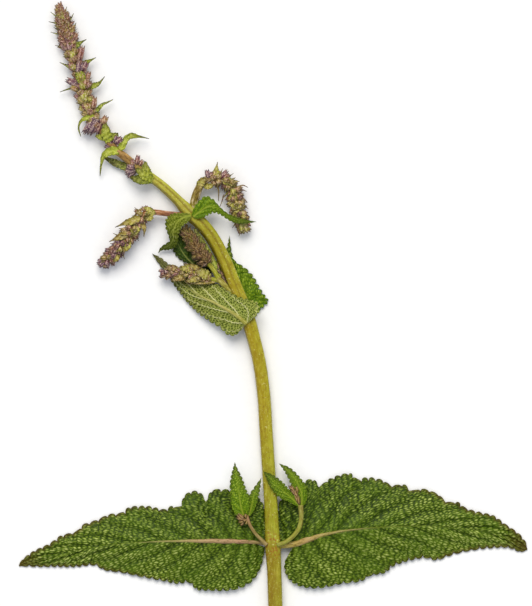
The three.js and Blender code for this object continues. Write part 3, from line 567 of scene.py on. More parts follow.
# %% The grid of a blade
def leaf_grid(rib, left, right, teeth, tooth, fan, columns, rows):
    """The ruled grid of a blade, with each point's share along the leaf and its share out to the margin."""
    rib_course = course_of(rib)
    share = np.linspace(0, 0.9985, columns + 1)
    middle = at(rib_course, share**fan)
    out = np.linspace(0, 1, rows + 1) ** 0.92
    halves = []
    for margin, outward in ((left, 1), (right, -1)):
        margin_course = course_of(margin)
        edge = at(margin_course, share)
        away = across(heading(margin_course, share))[0] * [1, 1, 0]
        place = teeth * share + 0.45 * np.sin(0.37 * teeth * share + outward)
        which = np.floor(place)
        rise = (place - which) ** 0.8
        deep = along(tooth, share) * (0.6 + 0.8 * scatter_of(which, outward + 3))
        inset = deep * (1 - (4 * rise * (1 - rise)) ** 0.6) * np.clip(share * teeth, 0, 1)
        inset = inset * np.clip((1 - share) * teeth / 1.5, 0, 1)
        edge = edge - outward * away * inset[:, None]
        halves.append(middle[:, None] + (edge - middle)[:, None] * out[None, :, None])
    grid = np.concatenate([halves[0][:, :0:-1], halves[1]], axis=1)
    side = np.concatenate([-out[:0:-1], out])
    return grid, np.repeat(share[:, None], 2 * rows + 1, axis=1), np.repeat(side[None], columns + 1, axis=0)


TRIAL_RIB = [[0, 0, 1], [6, 0, 1], [12, 0, 1]]
TRIAL_LEFT = [[0, 1, 1], [6, 3, 1], [12, 0, 1]]
TRIAL_RIGHT = [[0, -1, 1], [6, -3, 1], [12, 0, 1]]
trial = leaf_grid(TRIAL_RIB, TRIAL_LEFT, TRIAL_RIGHT, teeth=6, tooth=[0.3], fan=1.0, columns=40, rows=8)
print("the grid of a trial leaf is", trial[0].shape[0], "by", trial[0].shape[1], "points")


# %% [markdown]
# Then the grid is raised and lowered. Side veins leave the midrib at even steps and press furrows, the
# blade swells between them, and the cushions cover it all, calmer beside the midrib near the stem. A
# turned leaf shows its underside, where the same net stands out instead. Every point also keeps how near
# it lies to a vein, the midrib or the margin, for the leaf's colours. Sculpting would give one such leaf.
# A rule gives all ten, each with its own size of cushion, number of veins and seed.

# %% A puckered blade
CUSHION_LEAN = (0.94, 0.34)
RIB_FADE = [1, 0.8, 0.6, 0.45, 0.35, 0.25]
LOWEST_TOP = 0.15
LOWEST_UNDERSIDE = 0.02


def leaf_shell(shells, rib, left, right, teeth, tooth, columns, rows, fan=1.0, cell=0.72, stretch=1.7,
               height=0.34, veins=9, bend=2.0, furrow=0.4, quilt=0.45, rib_width=0.5, thickness=0.36,
               turned=False, pale=(0.0, 0.0), dark_from=0.92, seed=1):
    """Adds a puckered blade, in millimetres, from its midrib and its two margins.

    Cell is a cushion's width, stretch its length in widths, and height its rise. Furrow is how deep a side
    vein lies and quilt how far the blade swells between two. Turned shows the underside. Pale lightens the
    left and the right half with painted light, for the half that slopes away from the sun, and dark_from is
    the share of the leaf at which its dark tip begins.
    """
    grid, share, side = leaf_grid(rib, left, right, teeth, tooth, fan, columns, rows)
    out = np.abs(side)
    from_rib = np.linalg.norm(grid - grid[:, rows][:, None], axis=-1)
    edge_gap = np.minimum(np.linalg.norm(grid - grid[:, :1], axis=-1),
                          np.linalg.norm(grid - grid[:, -1:], axis=-1))
    half = np.where(side < 0, from_rib[:, :1], from_rib[:, -1:])
    way = unit(np.array(rib[-1], float) - np.array(rib[0], float))
    x = grid[..., 0] * way[0] + grid[..., 1] * way[1]
    y = grid[..., 1] * way[0] - grid[..., 0] * way[1]
    off = np.abs(y - y[:, rows][:, None])
    ahead, aslant = CUSHION_LEAN
    forward, sideways = ahead * x + aslant * off, ahead * off - aslant * x
    lengthwise = forward / (stretch * cell) + 0.4 * wander(x / 2, y / 2, seed)
    crosswise = sideways / cell + 0.45 * wander(y / 2, x / 2, seed + 1) + 9 * (side > 0)
    dome, net, number = cushions(lengthwise, crosswise, seed)
    grain = cushions(x / (2.3 * cell), y / (1.6 * cell), seed + 3)[0]
    calm = 1 - 0.75 * np.exp(-((from_rib / 5) ** 2)) * np.clip(1 - 1.8 * share, 0, 1)

    order = veins * share - bend * out + 0.4 * (side > 0) + 0.12 * wander(x / 6, y / 6, seed + 2)
    steep = np.hypot(veins / length_of(course_of(rib)), bend / np.maximum(half, 1))
    off_vein = np.abs(order - np.round(order)) / steep
    vein_width = 0.17 if turned else 0.34
    open_blade = np.clip(1.3 - out, 0, 1) * np.clip(from_rib / 0.8, 0, 1)
    vein = np.exp(-((off_vein / vein_width) ** 2)) * open_blade
    wave = np.cos(2 * math.pi * order)
    bulge = quilt * (0.5 - 0.5 * wave) * open_blade
    midrib = np.exp(-((from_rib / (rib_width * along(RIB_FADE, share))) ** 2))
    pucker = (0.75 * dome + 0.25 * grain - 0.5) * (1 - midrib) * (1 - 0.7 * vein) * calm
    relief = height * pucker - furrow * vein - 0.6 * furrow * midrib + bulge
    # This lightens the tint on the swells between side veins and darkens it along the veins, as painted light
    # and shade.
    painted_swell_light = 0.08 * wave * open_blade
    if turned:
        relief = furrow * (vein + midrib) - height * pucker + 0.3 * height * net - bulge
        painted_swell_light = 0.0
    relief = relief * np.clip(half / (4 * cell), 0.15, 1) * np.clip(edge_gap / 0.35, 0.25, 1)
    thin = thickness * np.clip(edge_gap / 0.5, 0.45, 1)
    top = grid + UP * (relief + thin / 2)[..., None]
    bottom = grid + UP * (relief - thin / 2)[..., None]
    top[..., 2] = np.maximum(top[..., 2], LOWEST_TOP)
    bottom[..., 2] = np.maximum(np.minimum(bottom[..., 2], top[..., 2] - 0.1), LOWEST_UNDERSIDE)
    points, faces = sheet_shell(top, bottom)

    rim = np.clip(1 - edge_gap / (0.9 + 0.9 * share), 0, 1) * np.clip(1.5 * share - 0.1, 0.2, 1)
    rim = np.maximum(rim, np.clip((share - dark_from) / (1 - dark_from), 0, 1) ** 0.7)
    # The tint paints light and shade on the relief: low in the seams for painted shade, high on the cushion
    # tops for painted highlights. A turned leaf's colours run the other way, so its pits get painted shade.
    tint = 0.45 + calm * (0.72 * dome + 0.28 * grain - 0.45) - painted_swell_light + 0.2 * share**2
    # Pale is painted light on the half of the blade that slopes away from the sun.
    tint = tint + np.where(side < 0, pale[0], pale[1]) * np.clip(out * 4, 0, 1)
    kept = {"dome": tint, "net": net * (1 - midrib), "vein": vein, "midrib": midrib, "rim": rim,
            "reach": share, "cell": number}
    shells.add(points, faces, **{label: np.tile(values.ravel(), 2) for label, values in kept.items()})


trial_leaf = Shells()
leaf_shell(trial_leaf, TRIAL_RIB, TRIAL_LEFT, TRIAL_RIGHT, teeth=6, tooth=[0.3], columns=40, rows=8)
print("a trial leaf 12 mm long is", round(float(np.ptp(trial_leaf.points[0][:, 2])), 2), "mm high")


# %% [markdown]
# The leaf's colours come from the numbers kept in the grid. On an upper face the seams between cushions
# and the side veins get painted shade, and the tops of the cushions and the swells between side veins get
# painted highlights. On an underside the pits get painted shade. The teeth and the tip are purple-brown.
# The midrib is pinkish where it leaves the stem and turns green towards the tip. Every cushion has its own
# slight tint. Because colour and relief come from the same numbers, each painted dark line lies in its own
# furrow, which two separate patterns miss.

# %% Leaf material
def leaf_material(name, shades, rib_shades, net, vein, rim, patch):
    """Gives the eye a downy puckered leaf with painted highlights and painted shade on its relief.
    Net, vein, rim and patch are a share and a colour each; on an upper face net and vein are painted shade
    in the furrows.
    """
    material, output = new_material(name)
    tree = material.node_tree
    kept = {label: add_node(tree, "ShaderNodeAttribute", {"attribute_name": label}).outputs["Fac"]
            for label in ("dome", "net", "vein", "midrib", "rim", "reach", "cell")}
    place = add_node(tree, "ShaderNodeTexCoord").outputs["Object"]
    down, patches = [
        add_node(tree, "ShaderNodeTexNoise", {"Scale": 1 / (size * MM), "Detail": detail, "Vector": place})
        .outputs["Fac"] for size, detail in ((0.5, 3.0), (14, 2.0))]
    fine = add_node(tree, "ShaderNodeMath", {"operation": "MULTIPLY_ADD", 0: down, 1: 0.6, 2: -0.3})
    painted_relief_shading = add_node(tree, "ShaderNodeMath", {"operation": "ADD", 0: kept["dome"], 1: fine.outputs[0]})
    base = add_node(tree, "ShaderNodeValToRGB", {"Fac": painted_relief_shading.outputs[0], "stops": shades}).outputs["Color"]
    near_stem = add_node(tree, "ShaderNodeMapRange", {0: kept["reach"], 1: 0.35, 2: 0.9, 3: 0.9, 4: 0.1})
    strong = add_node(tree, "ShaderNodeMath", {
        "operation": "MULTIPLY", 0: kept["midrib"], 1: near_stem.outputs[0]}).outputs[0]
    rib = add_node(tree, "ShaderNodeValToRGB", {"Fac": kept["reach"], "stops": rib_shades}).outputs["Color"]
    darkest = shades[0][1]
    # On an upper face the net and vein tints are painted shade in the seams and vein furrows; on an underside
    # they give the net its pale colour.
    tone = layered(tree, base, [
        (patches, 0.42, 0.66, 0.0, *patch), (kept["cell"], 0.0, 1.0, 0.0, 0.22, darkest),
        (kept["net"], 0.0, 1.0, 0.0, *net), (kept["vein"], 0.0, 1.0, 0.0, *vein),
        (kept["rim"], 0.0, 1.0, 0.0, *rim), (strong, 0.0, 1.0, 0.0, 1.0, rib),
    ])
    soft_skin(tree, output, tone, down, strength=0.5, depth=0.15, roughness=0.45, gloss=0.1)
    return material


# Its shades run from painted shade in the seams to painted highlights on the cushion tops.
grown_leaf = leaf_material(
    "puckered green leaf", [(0.0, "#101a00"), (0.3, "#364b04"), (0.6, "#6a801e"), (1.0, "#b4be6a")],
    [(0.0, "#86704a"), (0.3, "#8a7c40"), (0.5, "#76802c"), (1.0, "#66782a")],
    net=(0.5, "#1a2a00"), vein=(0.48, "#26380a"), rim=(0.8, "#4c3210"), patch=(0.4, "#4c6a0e"))
print("nodes in the grown leaf's finish:", len(grown_leaf.node_tree.nodes))

# %% [markdown]
# The plant has leaves of five ages and places. Next to the deep green of grown leaves, the same material
# is mixed four more times. Young leaves are bright and yellower. The drooping one has aged to olive, the
# one in the shade of the fork is dark, and the underside is pale with a whitish net. One material with a
# single colour to change would be shorter, but net, veins and margin could not change with the age.

# %% Finishes of the other leaves
young_leaf = leaf_material(
    "bright young leaf", [(0.0, "#284200"), (0.32, "#4f7004"), (0.62, "#809a14"), (1.0, "#c4d05c")],
    [(0.0, "#8f9a30"), (1.0, "#74881e")],
    net=(0.4, "#2c4800"), vein=(0.35, "#3f5a04"), rim=(0.8, "#33380c"), patch=(0.5, "#748a18"))
# Its shades darken the pits between the net as painted shade.
leaf_back = leaf_material(
    "pale veined underside", [(0.0, "#98a038"), (0.28, "#6a7820"), (0.5, "#3e5006"), (0.9, "#243400")],
    [(0.0, "#b0a04c"), (0.4, "#bcb468"), (1.0, "#8f8f4a")],
    net=(0.85, "#c2c66c"), vein=(0.9, "#dcd89c"), rim=(0.85, "#38340c"), patch=(0.6, "#565818"))
shaded_leaf = leaf_material(
    "shaded dark leaf", [(0.05, "#20300a"), (0.45, "#3c5210"), (0.95, "#66782c")],
    [(0.0, "#a0a050"), (1.0, "#a3a85c")],
    net=(0.3, "#24340a"), vein=(0.4, "#26360a"), rim=(0.6, "#33300c"), patch=(0.4, "#334c10"))
olive_leaf = leaf_material(
    "olive drooping leaf", [(0.0, "#343e06"), (0.32, "#6e7816"), (0.62, "#9ca23e"), (1.0, "#cccc84")],
    [(0.0, "#8f9a30"), (1.0, "#a4a458")],
    net=(0.4, "#343f06"), vein=(0.35, "#4c5a0a"), rim=(0.9, "#28300a"), patch=(0.5, "#4c640c"))
print("other leaves:", [skin.name for skin in (young_leaf, leaf_back, shaded_leaf, olive_leaf)])

# %% [markdown]
# The two lower leaves are the largest, almost ninety millimetres long, with a heart-shaped foot and an
# uneven margin. Midrib and margins follow the photograph in as many points as their shape needs. The
# margins rise a little off the surface, which draws the thin shadow below each leaf.

# %% Lower left leaf
LEFT_RIB = [[-2.6, -78.4, 3], [-8.2, -77.9, 3.2], [-17.4, -77.6, 3.6], [-35.7, -77.6, 3.9],
            [-47.7, -78.1, 3.6], [-60, -79.4, 3.1], [-72, -81.7, 2.2], [-81.2, -84.1, 1.2],
            [-89.9, -86.6, 0.4]]
lower_left = Shells()
leaf_shell(
    lower_left, LEFT_RIB[1:],
    left=[[-2.8, -79.8, 2], [-3.2, -82.6, 1.4], [-3.8, -85.6, 1.4], [-5, -88.6, 1.5], [-7, -91.6, 1.6],
          [-10.5, -94, 1.8], [-16, -95.3, 2], [-21.5, -95.3, 1.7], [-27.1, -94.9, 1.4],
          [-29.6, -92.6, 1.2], [-34, -92.9, 1.2], [-39.9, -91.7, 1.3], [-46.6, -90.4, 1.2],
          [-54, -88.9, 0.8], [-59.9, -88, 0.6], [-62.8, -86.5, 0.5], [-70.3, -87, 0.6],
          [-78.2, -86.9, 0.7], [-84.4, -86.9, 0.5], [-89.9, -86.6, 0.4]],
    right=[[-2.7, -77, 2.2], [-2.6, -71.5, 1.6], [-2.8, -66.5, 1.5], [-4.4, -62.9, 1.4], [-8, -61.2, 1.2],
           [-12.5, -60.2, 0.9], [-17.5, -59.2, 1.3], [-21.8, -59.8, 1.3], [-23.8, -62.6, 0.9],
           [-25.6, -60.4, 0.8], [-28.6, -59.9, 0.8], [-31.4, -61.6, 0.7], [-33.2, -65.4, 0.6],
           [-35.8, -65.2, 0.6], [-38.2, -66.3, 0.7], [-44.1, -65.2, 0.9], [-50.8, -65.6, 0.9],
           [-53.9, -67.6, 0.7], [-57.8, -68.1, 0.6], [-62.4, -70.1, 0.7], [-67.2, -71.8, 0.8],
           [-69.4, -74, 0.7], [-75.1, -75.7, 0.6], [-79, -78.4, 0.5], [-84.8, -81.2, 0.5],
           [-87.9, -83.5, 0.5], [-89.5, -85.4, 0.4], [-89.9, -86.6, 0.4]],
    teeth=38, tooth=[0.8, 1.1, 1.15, 1.1, 0.8], fan=1.5, columns=385, rows=63, stretch=2.6,
    # The lower half slopes away from the sun and gets painted light.
    pale=(0.1, 0.0), seed=3)
lower_left.make("lower_leaf_left_blade", grown_leaf, "lower_leaf_left")

# %% Lower right leaf
RIGHT_RIB = [[1.7, -79.2, 3], [7.3, -78.7, 3.3], [12.6, -77, 3.7], [17.2, -75.5, 3.8], [24.6, -74, 4],
             [35.2, -72.9, 3.9], [44.4, -72.4, 3.6], [56.4, -72.4, 3], [68.7, -73.4, 2.2], [77.9, -74.9, 1.4],
             [84.1, -77.3, 0.8], [89.9, -80.8, 0.4]]
lower_right = Shells()
leaf_shell(
    lower_right, RIGHT_RIB[1:],
    left=[[1.7, -77.6, 2.2], [1.5, -72, 1.5], [1.6, -66.5, 1.4], [2.8, -62.2, 1.5], [6, -59.4, 1.4],
          [10, -56.8, 1], [14.2, -55.7, 0.9], [16.6, -57.8, 0.8], [19.3, -55.9, 1], [23.4, -54.2, 1.3],
          [27.6, -53.7, 1.2], [29.8, -55.6, 0.9], [33.4, -55, 0.8], [38.6, -56, 0.7], [41.9, -57.8, 0.7],
          [46.4, -57.6, 0.7], [48.8, -59.6, 0.8], [53, -59.1, 1], [58.4, -61.1, 0.9], [61.4, -63.6, 0.7],
          [65.6, -63.9, 0.7], [68, -65.8, 0.8], [73.4, -67.4, 0.8], [78, -68.6, 0.7], [82.4, -71.8, 0.5],
          [87.2, -75.2, 0.5], [89.3, -78, 0.5], [89.9, -80.8, 0.4]],
    right=[[6.6, -81.2, 2.4], [4.6, -83.6, 1.9], [3.8, -86.6, 1.7], [4.6, -89.8, 1.7], [7, -92.6, 1.7],
           [12, -94.3, 1.9], [17.4, -94.3, 2], [22.6, -93.2, 1.7], [26.8, -92.6, 1.5], [31.2, -92, 1.3],
           [34, -90.2, 1.2], [39.6, -89, 1.2], [42.4, -86.8, 1.1], [48, -84.8, 1.1], [53.6, -83.8, 0.9],
           [57.4, -84.6, 0.7], [61.6, -83.3, 0.6], [67.2, -81.7, 0.5], [75.2, -80.5, 0.6],
           [83, -80.2, 0.7], [87.4, -81.6, 0.5], [89.9, -80.8, 0.4]],
    teeth=38, tooth=[0.8, 1.1, 1.15, 1.1, 0.8], fan=1.5, columns=385, rows=63, stretch=2.6,
    # The lower half slopes away from the sun and gets painted light.
    pale=(0.0, 0.1), seed=4)
lower_right.make("lower_leaf_right_blade", grown_leaf, "lower_leaf_right")

# %% [markdown]
# The two lower leaves have stalks that run on as midribs. A tapering tube makes both at once: it leaves
# the stem, sinks into the blade and fades out along the leaf's own midrib. Its skin is downy and streaked
# lengthwise, and the same material serves every thin stalk on the plant, each with its own colours.

# %% Stalk material
def stalk_material(name, shades, streak, shade, streak_share=0.6):
    """Gives the eye a thin downy stalk whose colour changes along it, with fine streaks and dark sides."""
    material, output = new_material(name)
    tree = material.node_tree
    kept = {label: add_node(tree, "ShaderNodeAttribute", {"attribute_name": label}).outputs["Fac"]
            for label in ("reach", "run", "around", "aside")}
    place = add_node(tree, "ShaderNodeTexCoord").outputs["Object"]
    base = add_node(tree, "ShaderNodeValToRGB", {"Fac": kept["reach"], "stops": shades}).outputs["Color"]
    slow = add_node(tree, "ShaderNodeMath", {"operation": "MULTIPLY", 0: kept["run"], 1: 0.22}).outputs[0]
    grain = add_node(tree, "ShaderNodeCombineXYZ", {"X": kept["around"], "Y": kept["aside"], "Z": slow})
    streaks, spots = [
        add_node(tree, "ShaderNodeTexNoise", {"Scale": scale, "Detail": detail, "Vector": vector})
        .outputs["Fac"] for scale, detail, vector in ((2.6, 3.0, grain.outputs[0]),
                                                      (1 / (0.6 * MM), 1.0, place))]
    tone = layered(tree, base, [
        (streaks, 0.5, 0.66, 0.0, streak_share, streak), (streaks, 0.46, 0.3, 0.0, 0.8, shade),
        (spots, 0.6, 0.7, 0.0, 0.5, shade),
    ])
    soft_skin(tree, output, tone, streaks, strength=0.4, depth=0.12, roughness=0.5, gloss=0.2)
    return material


def stalk_piece(node, part, material, points, halves, stations=40):
    """A stalk as a piece of its own, with its half widths in millimetres from foot to end."""
    shells = Shells()
    tube, faces, values = round_tube(course_of(points), halves, stations, sides=14)
    shells.add(tube, faces, **values)
    return shells.make(f"{node}_{part}", material, node)


# %% Leaf stalks and midribs
pink_rib = stalk_material(
    "pinkish leaf stalk",
    [(0.0, "#b09a78"), (0.06, "#84743e"), (0.2, "#ac8464"), (0.5, "#a88c60"), (0.7, "#989050"),
     (1.0, "#66782a")],
    "#b49a70", "#5c5020")
stalk_piece("lower_leaf_left", "midrib", pink_rib, LEFT_RIB[:5],
            [0.6, 0.75, 0.9, 0.72, 0.44, 0.3, 0.1], 80)
tan_rib = stalk_material(
    "olive-tan leaf stalk",
    [(0.0, "#b4a84a"), (0.12, "#b4a048"), (0.3, "#b09058"), (0.45, "#a09048"), (1.0, "#5c6e22")],
    "#bca67c", "#66501c")
stalk_piece("lower_leaf_right", "midrib", tan_rib, RIGHT_RIB[:6],
            [1.15, 1.1, 1.1, 0.75, 0.5, 0.34, 0.22, 0.08], 80)

# %% [markdown]
# The pair at the middle of the stem is turned two ways. The leaf in front shows its underside, where the
# veins stand out as a pale net over hollows darkened with painted shade, and the leaf behind shows its
# bright upper face.
# Both are made by the same blade as the large ones, with its relief turned over for the underside.

# %% The leaf in front of the stem
FRONT_RIB = [[-9.4, -1, 7.3], [-12.4, 1.6, 7.6], [-16, 3.9, 7.3], [-20.5, 6.4, 6], [-24.9, 8.5, 4.6],
             [-29.4, 11.1, 3.1], [-33.2, 14.5, 1.7], [-37.1, 18.3, 1], [-42.8, 23.9, 0.8]]
front = Shells()
leaf_shell(
    front, FRONT_RIB,
    left=[[-10.2, -1.6, 6.8], [-11.6, -3.6, 5.8], [-13.6, -5.2, 4.9], [-16.2, -4.9, 4.2], [-18.6, -2.7, 3.7],
          [-21.4, -0.9, 3.2], [-26.5, 2.6, 2], [-30.8, 7, 1.3], [-34.8, 12.2, 0.9], [-38.2, 17.2, 0.7],
          [-40.6, 20.4, 0.7], [-42.8, 23.9, 0.8]],
    right=[[-8.6, -0.4, 7.4], [-6, 1.6, 7.6], [-4.6, 4, 7.4], [-5.4, 6.6, 7.3], [-8.9, 7.9, 7.5],
           [-12.1, 8.8, 7.4], [-17.5, 11.9, 5.8], [-21.7, 14.4, 2.9], [-26.9, 15.7, 1.5], [-33.4, 19.2, 0.9],
           [-36.6, 20.2, 0.8], [-39.8, 22.6, 0.8], [-42.8, 23.9, 0.8]],
    teeth=24, tooth=[0.8, 0.9, 0.7, 0.4], fan=1.3, columns=320, rows=60, cell=0.62, height=0.28, furrow=0.2,
    veins=4.6, bend=2.2, quilt=0.2, rib_width=0.5, turned=True, dark_from=0.66, seed=7)
front.make("upper_leaf_front_blade", leaf_back, "upper_leaf_front")
back_rib_skin = stalk_material(
    "pale underside rib", [(0.0, "#94902c"), (0.25, "#a8a050"), (1.0, "#a8a458")], "#cac487", "#7c7c30")
stalk_piece("upper_leaf_front", "midrib", back_rib_skin, FRONT_RIB[:8],
            [0.85, 0.62, 0.48, 0.36, 0.28, 0.2, 0.1], 70)

# %% The leaf behind the stem
back = Shells()
leaf_shell(
    back, [[-8.4, 1.1, 1.3], [-9.6, 5, 1.1], [-10.8, 9.2, 1.1], [-12.4, 14.1, 1.1], [-14, 19.4, 1],
           [-15.6, 24.3, 1], [-15.4, 30.3, 0.8]],
    left=[[-9.6, 0.9, 1.1], [-12.4, 3.5, 0.8], [-14.8, 8, 0.6], [-16, 13, 0.6], [-16.9, 18.7, 0.7],
          [-17.1, 23.2, 0.8], [-16.2, 26.8, 0.8], [-15.4, 30.3, 0.8]],
    right=[[-7.4, 1.3, 1.2], [-4, 4.2, 0.9], [-1.5, 7.1, 0.7], [-3.2, 9.8, 1], [-5, 12.7, 0.7],
           [-6.9, 16.1, 0.9], [-10.1, 19.2, 0.7], [-13.4, 21.4, 0.8], [-14.6, 25, 0.8], [-15.4, 30.3, 0.8]],
    teeth=17, tooth=[0.9, 1.3, 1.2, 0.2], columns=240, rows=44, cell=0.6, stretch=2.4, height=0.26,
    veins=6, furrow=0.25, quilt=0.15, rib_width=0.35, dark_from=0.75, seed=8)
back.make("upper_leaf_back_blade", young_leaf, "upper_leaf_back")

# %% [markdown]
# Three small leaves stand higher up. One grows on the forked shoot and lies half under the stem. The
# pair at the upper node has one leaf that droops to the left and one that arches over the right spike.
# Scaled copies of a large leaf would bend the same way, so each has a midrib and margins of its own.

# %% The leaf of the forked shoot
fork_leaf = Shells()
leaf_shell(
    fork_leaf, [[-22.2, 15.9, 1.3], [-24.8, 17.8, 1.3], [-29.4, 21.2, 1.2], [-32.4, 25, 1.2],
                [-33.9, 28.6, 1.1], [-34.1, 32.5, 0.9]],
    left=[[-22.4, 15.2, 1.1], [-24.1, 16.9, 0.9], [-26.9, 18.6, 0.8], [-30.1, 20.1, 0.7], [-32.7, 21.5, 0.7],
          [-35.3, 24.4, 0.7], [-35.9, 28.4, 0.7], [-34.1, 32.5, 0.9]],
    right=[[-21.6, 16.6, 1.2], [-21.6, 20.4, 1], [-22.8, 24.6, 0.9], [-25, 27.6, 0.9], [-27.4, 30, 0.9],
           [-30.6, 32.2, 0.9], [-34.1, 32.5, 0.9]],
    teeth=15, tooth=[0.3, 0.7, 0.8, 0.4], columns=180, rows=30, cell=0.7, height=0.2, veins=6, furrow=0.2,
    quilt=0.15, rib_width=0.35, seed=9)
fork_leaf.make("inner_branch_leaf_blade", shaded_leaf, "inner_branch_leaf")

# %% The pair at the upper node
drooping = Shells()
leaf_shell(
    drooping, [[-28.9, 37.2, 7.1], [-31.4, 36.6, 7.3], [-33.8, 34.8, 6.9], [-35.1, 31.6, 5.6],
               [-35.3, 28.6, 4.2], [-36.6, 26.8, 3.1], [-38.8, 25.7, 2.1], [-40.7, 23.8, 1.3]],
    left=[[-28.7, 36.6, 7.3], [-30, 34.8, 7.3], [-31.6, 33.6, 6.9], [-33, 31, 5.6], [-33.4, 28.2, 4.2],
          [-34.4, 26, 3.2], [-37, 25, 2.4], [-39.2, 24.9, 1.9], [-40.7, 23.8, 1.3]],
    right=[[-29.3, 37.9, 7.1], [-32, 38.2, 7], [-35.6, 38, 6.4], [-37.9, 36, 5.6], [-38, 33, 4.8],
           [-37.1, 30.4, 4], [-36.6, 28.4, 3.4], [-38, 27.4, 2.6], [-39.8, 26, 1.8], [-40.7, 23.8, 1.3]],
    teeth=15, tooth=[0.3, 0.7, 0.5, 0.15], columns=220, rows=30, cell=0.56, height=0.24, veins=5,
    furrow=0.2, quilt=0.15, rib_width=0.3, dark_from=0.42, seed=10)
drooping.make("node_leaf_left_blade", olive_leaf, "node_leaf_left")

crossing = Shells()
leaf_shell(
    crossing, [[-28.2, 36.8, 7.1], [-25.8, 38.6, 7.2], [-22.4, 40.5, 7], [-19.1, 39.6, 6.8],
               [-15.9, 37.2, 6.7], [-11.4, 35.5, 6.6], [-5.8, 35, 6]],
    left=[[-28.8, 37.4, 7.2], [-27.8, 40.2, 7.4], [-26, 42.6, 7.2], [-23.8, 44.2, 6.8], [-21.2, 43.2, 6.7],
          [-18.6, 40.2, 6.7], [-15.6, 37.9, 6.7], [-11, 36.2, 6.6], [-5.8, 35, 6]],
    right=[[-27.6, 36.2, 7.2], [-25.4, 36.1, 7.2], [-23.4, 36.9, 7], [-20.9, 38, 6.8], [-18.6, 37.3, 6.7],
           [-15.7, 35.5, 6.7], [-13, 34.4, 6.7], [-9.6, 34.3, 6.5], [-5.8, 35, 6]],
    teeth=16, tooth=[0.4, 0.8, 0.3, 0.1], columns=220, rows=30, cell=0.56, height=0.24, veins=5,
    furrow=0.2, quilt=0.15, rib_width=0.3, dark_from=0.5, seed=11)
crossing.make("node_leaf_right_blade", young_leaf, "node_leaf_right")

# %% [markdown]
# Sage flowers stand in rings round the spike's axis, and each sits in a calyx: a ribbed bell with five
# pointed teeth. Several hundred calyces repeat one shape, so it is modelled once with few faces, and
# geometry nodes set a copy on every place with its own direction, size and ripeness. The same is done
# with closed buds and small pointed bracts. Copies become one plain mesh at the end, because only meshes
# are exported. Duplicating objects would work as well, but the scene would fill with hundreds of them.

# %% The three shapes that repeat
def turned_shape(sides, rings, tip, tip_rise):
    """A body round +Z. A ring is the radius on and between the ribs, and the rise on and between them."""
    turn = np.arange(sides) * 2 * math.pi / sides
    on_rib = np.arange(sides) % 2 == 0
    circles = []
    for wide, narrow, high, low in rings:
        size, rise = np.where(on_rib, wide, narrow), np.where(on_rib, high, low)
        circles.append(np.stack([size * np.cos(turn), size * np.sin(turn), rise], axis=-1))
    points, faces = tube_shell(circles, tip=[0, 0, tip])
    rib = np.concatenate([np.tile(on_rib.astype(float), len(rings)), [0, 0]])
    rise = np.concatenate([np.stack(circles)[..., 2].ravel(), [0, tip_rise]])
    return points, faces, rib, rise


def bract_pattern():
    """One small pointed bract along +Z, its inner face towards +Y, one unit long and two units wide."""
    share = np.array([0.0, 0.2, 0.45, 0.7, 0.88, 1.0])
    wide = np.array([0.55, 0.95, 1.0, 0.5, 0.18, 0.04])
    side = np.array([-1.0, -0.5, 0.0, 0.5, 1.0])
    lean = -0.16 * np.sin(share * math.pi) + 0.22 * share**3
    x = wide[:, None] * side[None]
    y = lean[:, None] + 0.3 * wide[:, None] * side[None] ** 2
    z = np.repeat(share[:, None], 5, axis=1)
    grid = np.stack([x, y, z], axis=-1)
    points, faces = sheet_shell(grid + [0, 0.07, 0], grid - [0, 0.07, 0])
    rib = np.tile(np.abs(side)[None] < 0.7, (12, 1)).ravel().astype(float)
    return points, faces, rib, np.concatenate([z.ravel(), z.ravel()])


def pattern_object(name, made):
    """A hidden stand-in that geometry nodes copy. It is removed when all copies are made."""
    points, faces, rib, rise = made
    mesh = bpy.data.meshes.new(name)
    mesh.from_pydata(points.tolist(), [], [face.tolist() for group in faces for face in group])
    for label, data in (("rib", rib), ("rise", rise)):
        mesh.attributes.new(label, "FLOAT", "POINT").data.foreach_set("value", data.astype(np.float32))
    return bpy.data.objects.new(name, mesh)


CALYX_RINGS = [(0.4, 0.34, 0.0, 0.0), (0.88, 0.83, 0.14, 0.14), (1.0, 0.93, 0.4, 0.4),
               (0.96, 0.87, 0.64, 0.64), (0.68, 0.54, 1.0, 0.8), (0.4, 0.4, 0.78, 0.78)]
BUD_RINGS = [(0.4, 0.34, 0.0, 0.0), (0.9, 0.8, 0.18, 0.18), (1.0, 0.88, 0.44, 0.44),
             (0.78, 0.66, 0.7, 0.68), (0.36, 0.3, 0.9, 0.86)]
calyx_shape = pattern_object("calyx shape", turned_shape(10, CALYX_RINGS, tip=0.86, tip_rise=0.7))
bud_shape = pattern_object("bud shape", turned_shape(8, BUD_RINGS, tip=1.0, tip_rise=1.0))
bract_shape = pattern_object("bract shape", bract_pattern())
pattern_shapes = (calyx_shape, bud_shape, bract_shape)
print("faces of the repeated shapes:", [len(shape.data.polygons) for shape in pattern_shapes])

# %% [markdown]
# A geometry tree is built like a material, from nodes and links. Its inputs are named, so the same tree
# serves every shape, size and finish. The places go in as a cloud of points, and each point carries how
# its copy is turned, how large it grows and how ripe it is.

# %% Geometry nodes that set a copy on every place
def new_tree(name, inputs, output):
    """An empty geometry tree with named inputs, and the outputs of its input node."""
    tree = bpy.data.node_groups.new(name, "GeometryNodeTree")
    for label, kind in inputs:
        tree.interface.new_socket(label, in_out="INPUT", socket_type="NodeSocket" + kind)
    tree.interface.new_socket(output, in_out="OUTPUT", socket_type="NodeSocketGeometry")
    return tree, add_node(tree, "NodeGroupInput").outputs


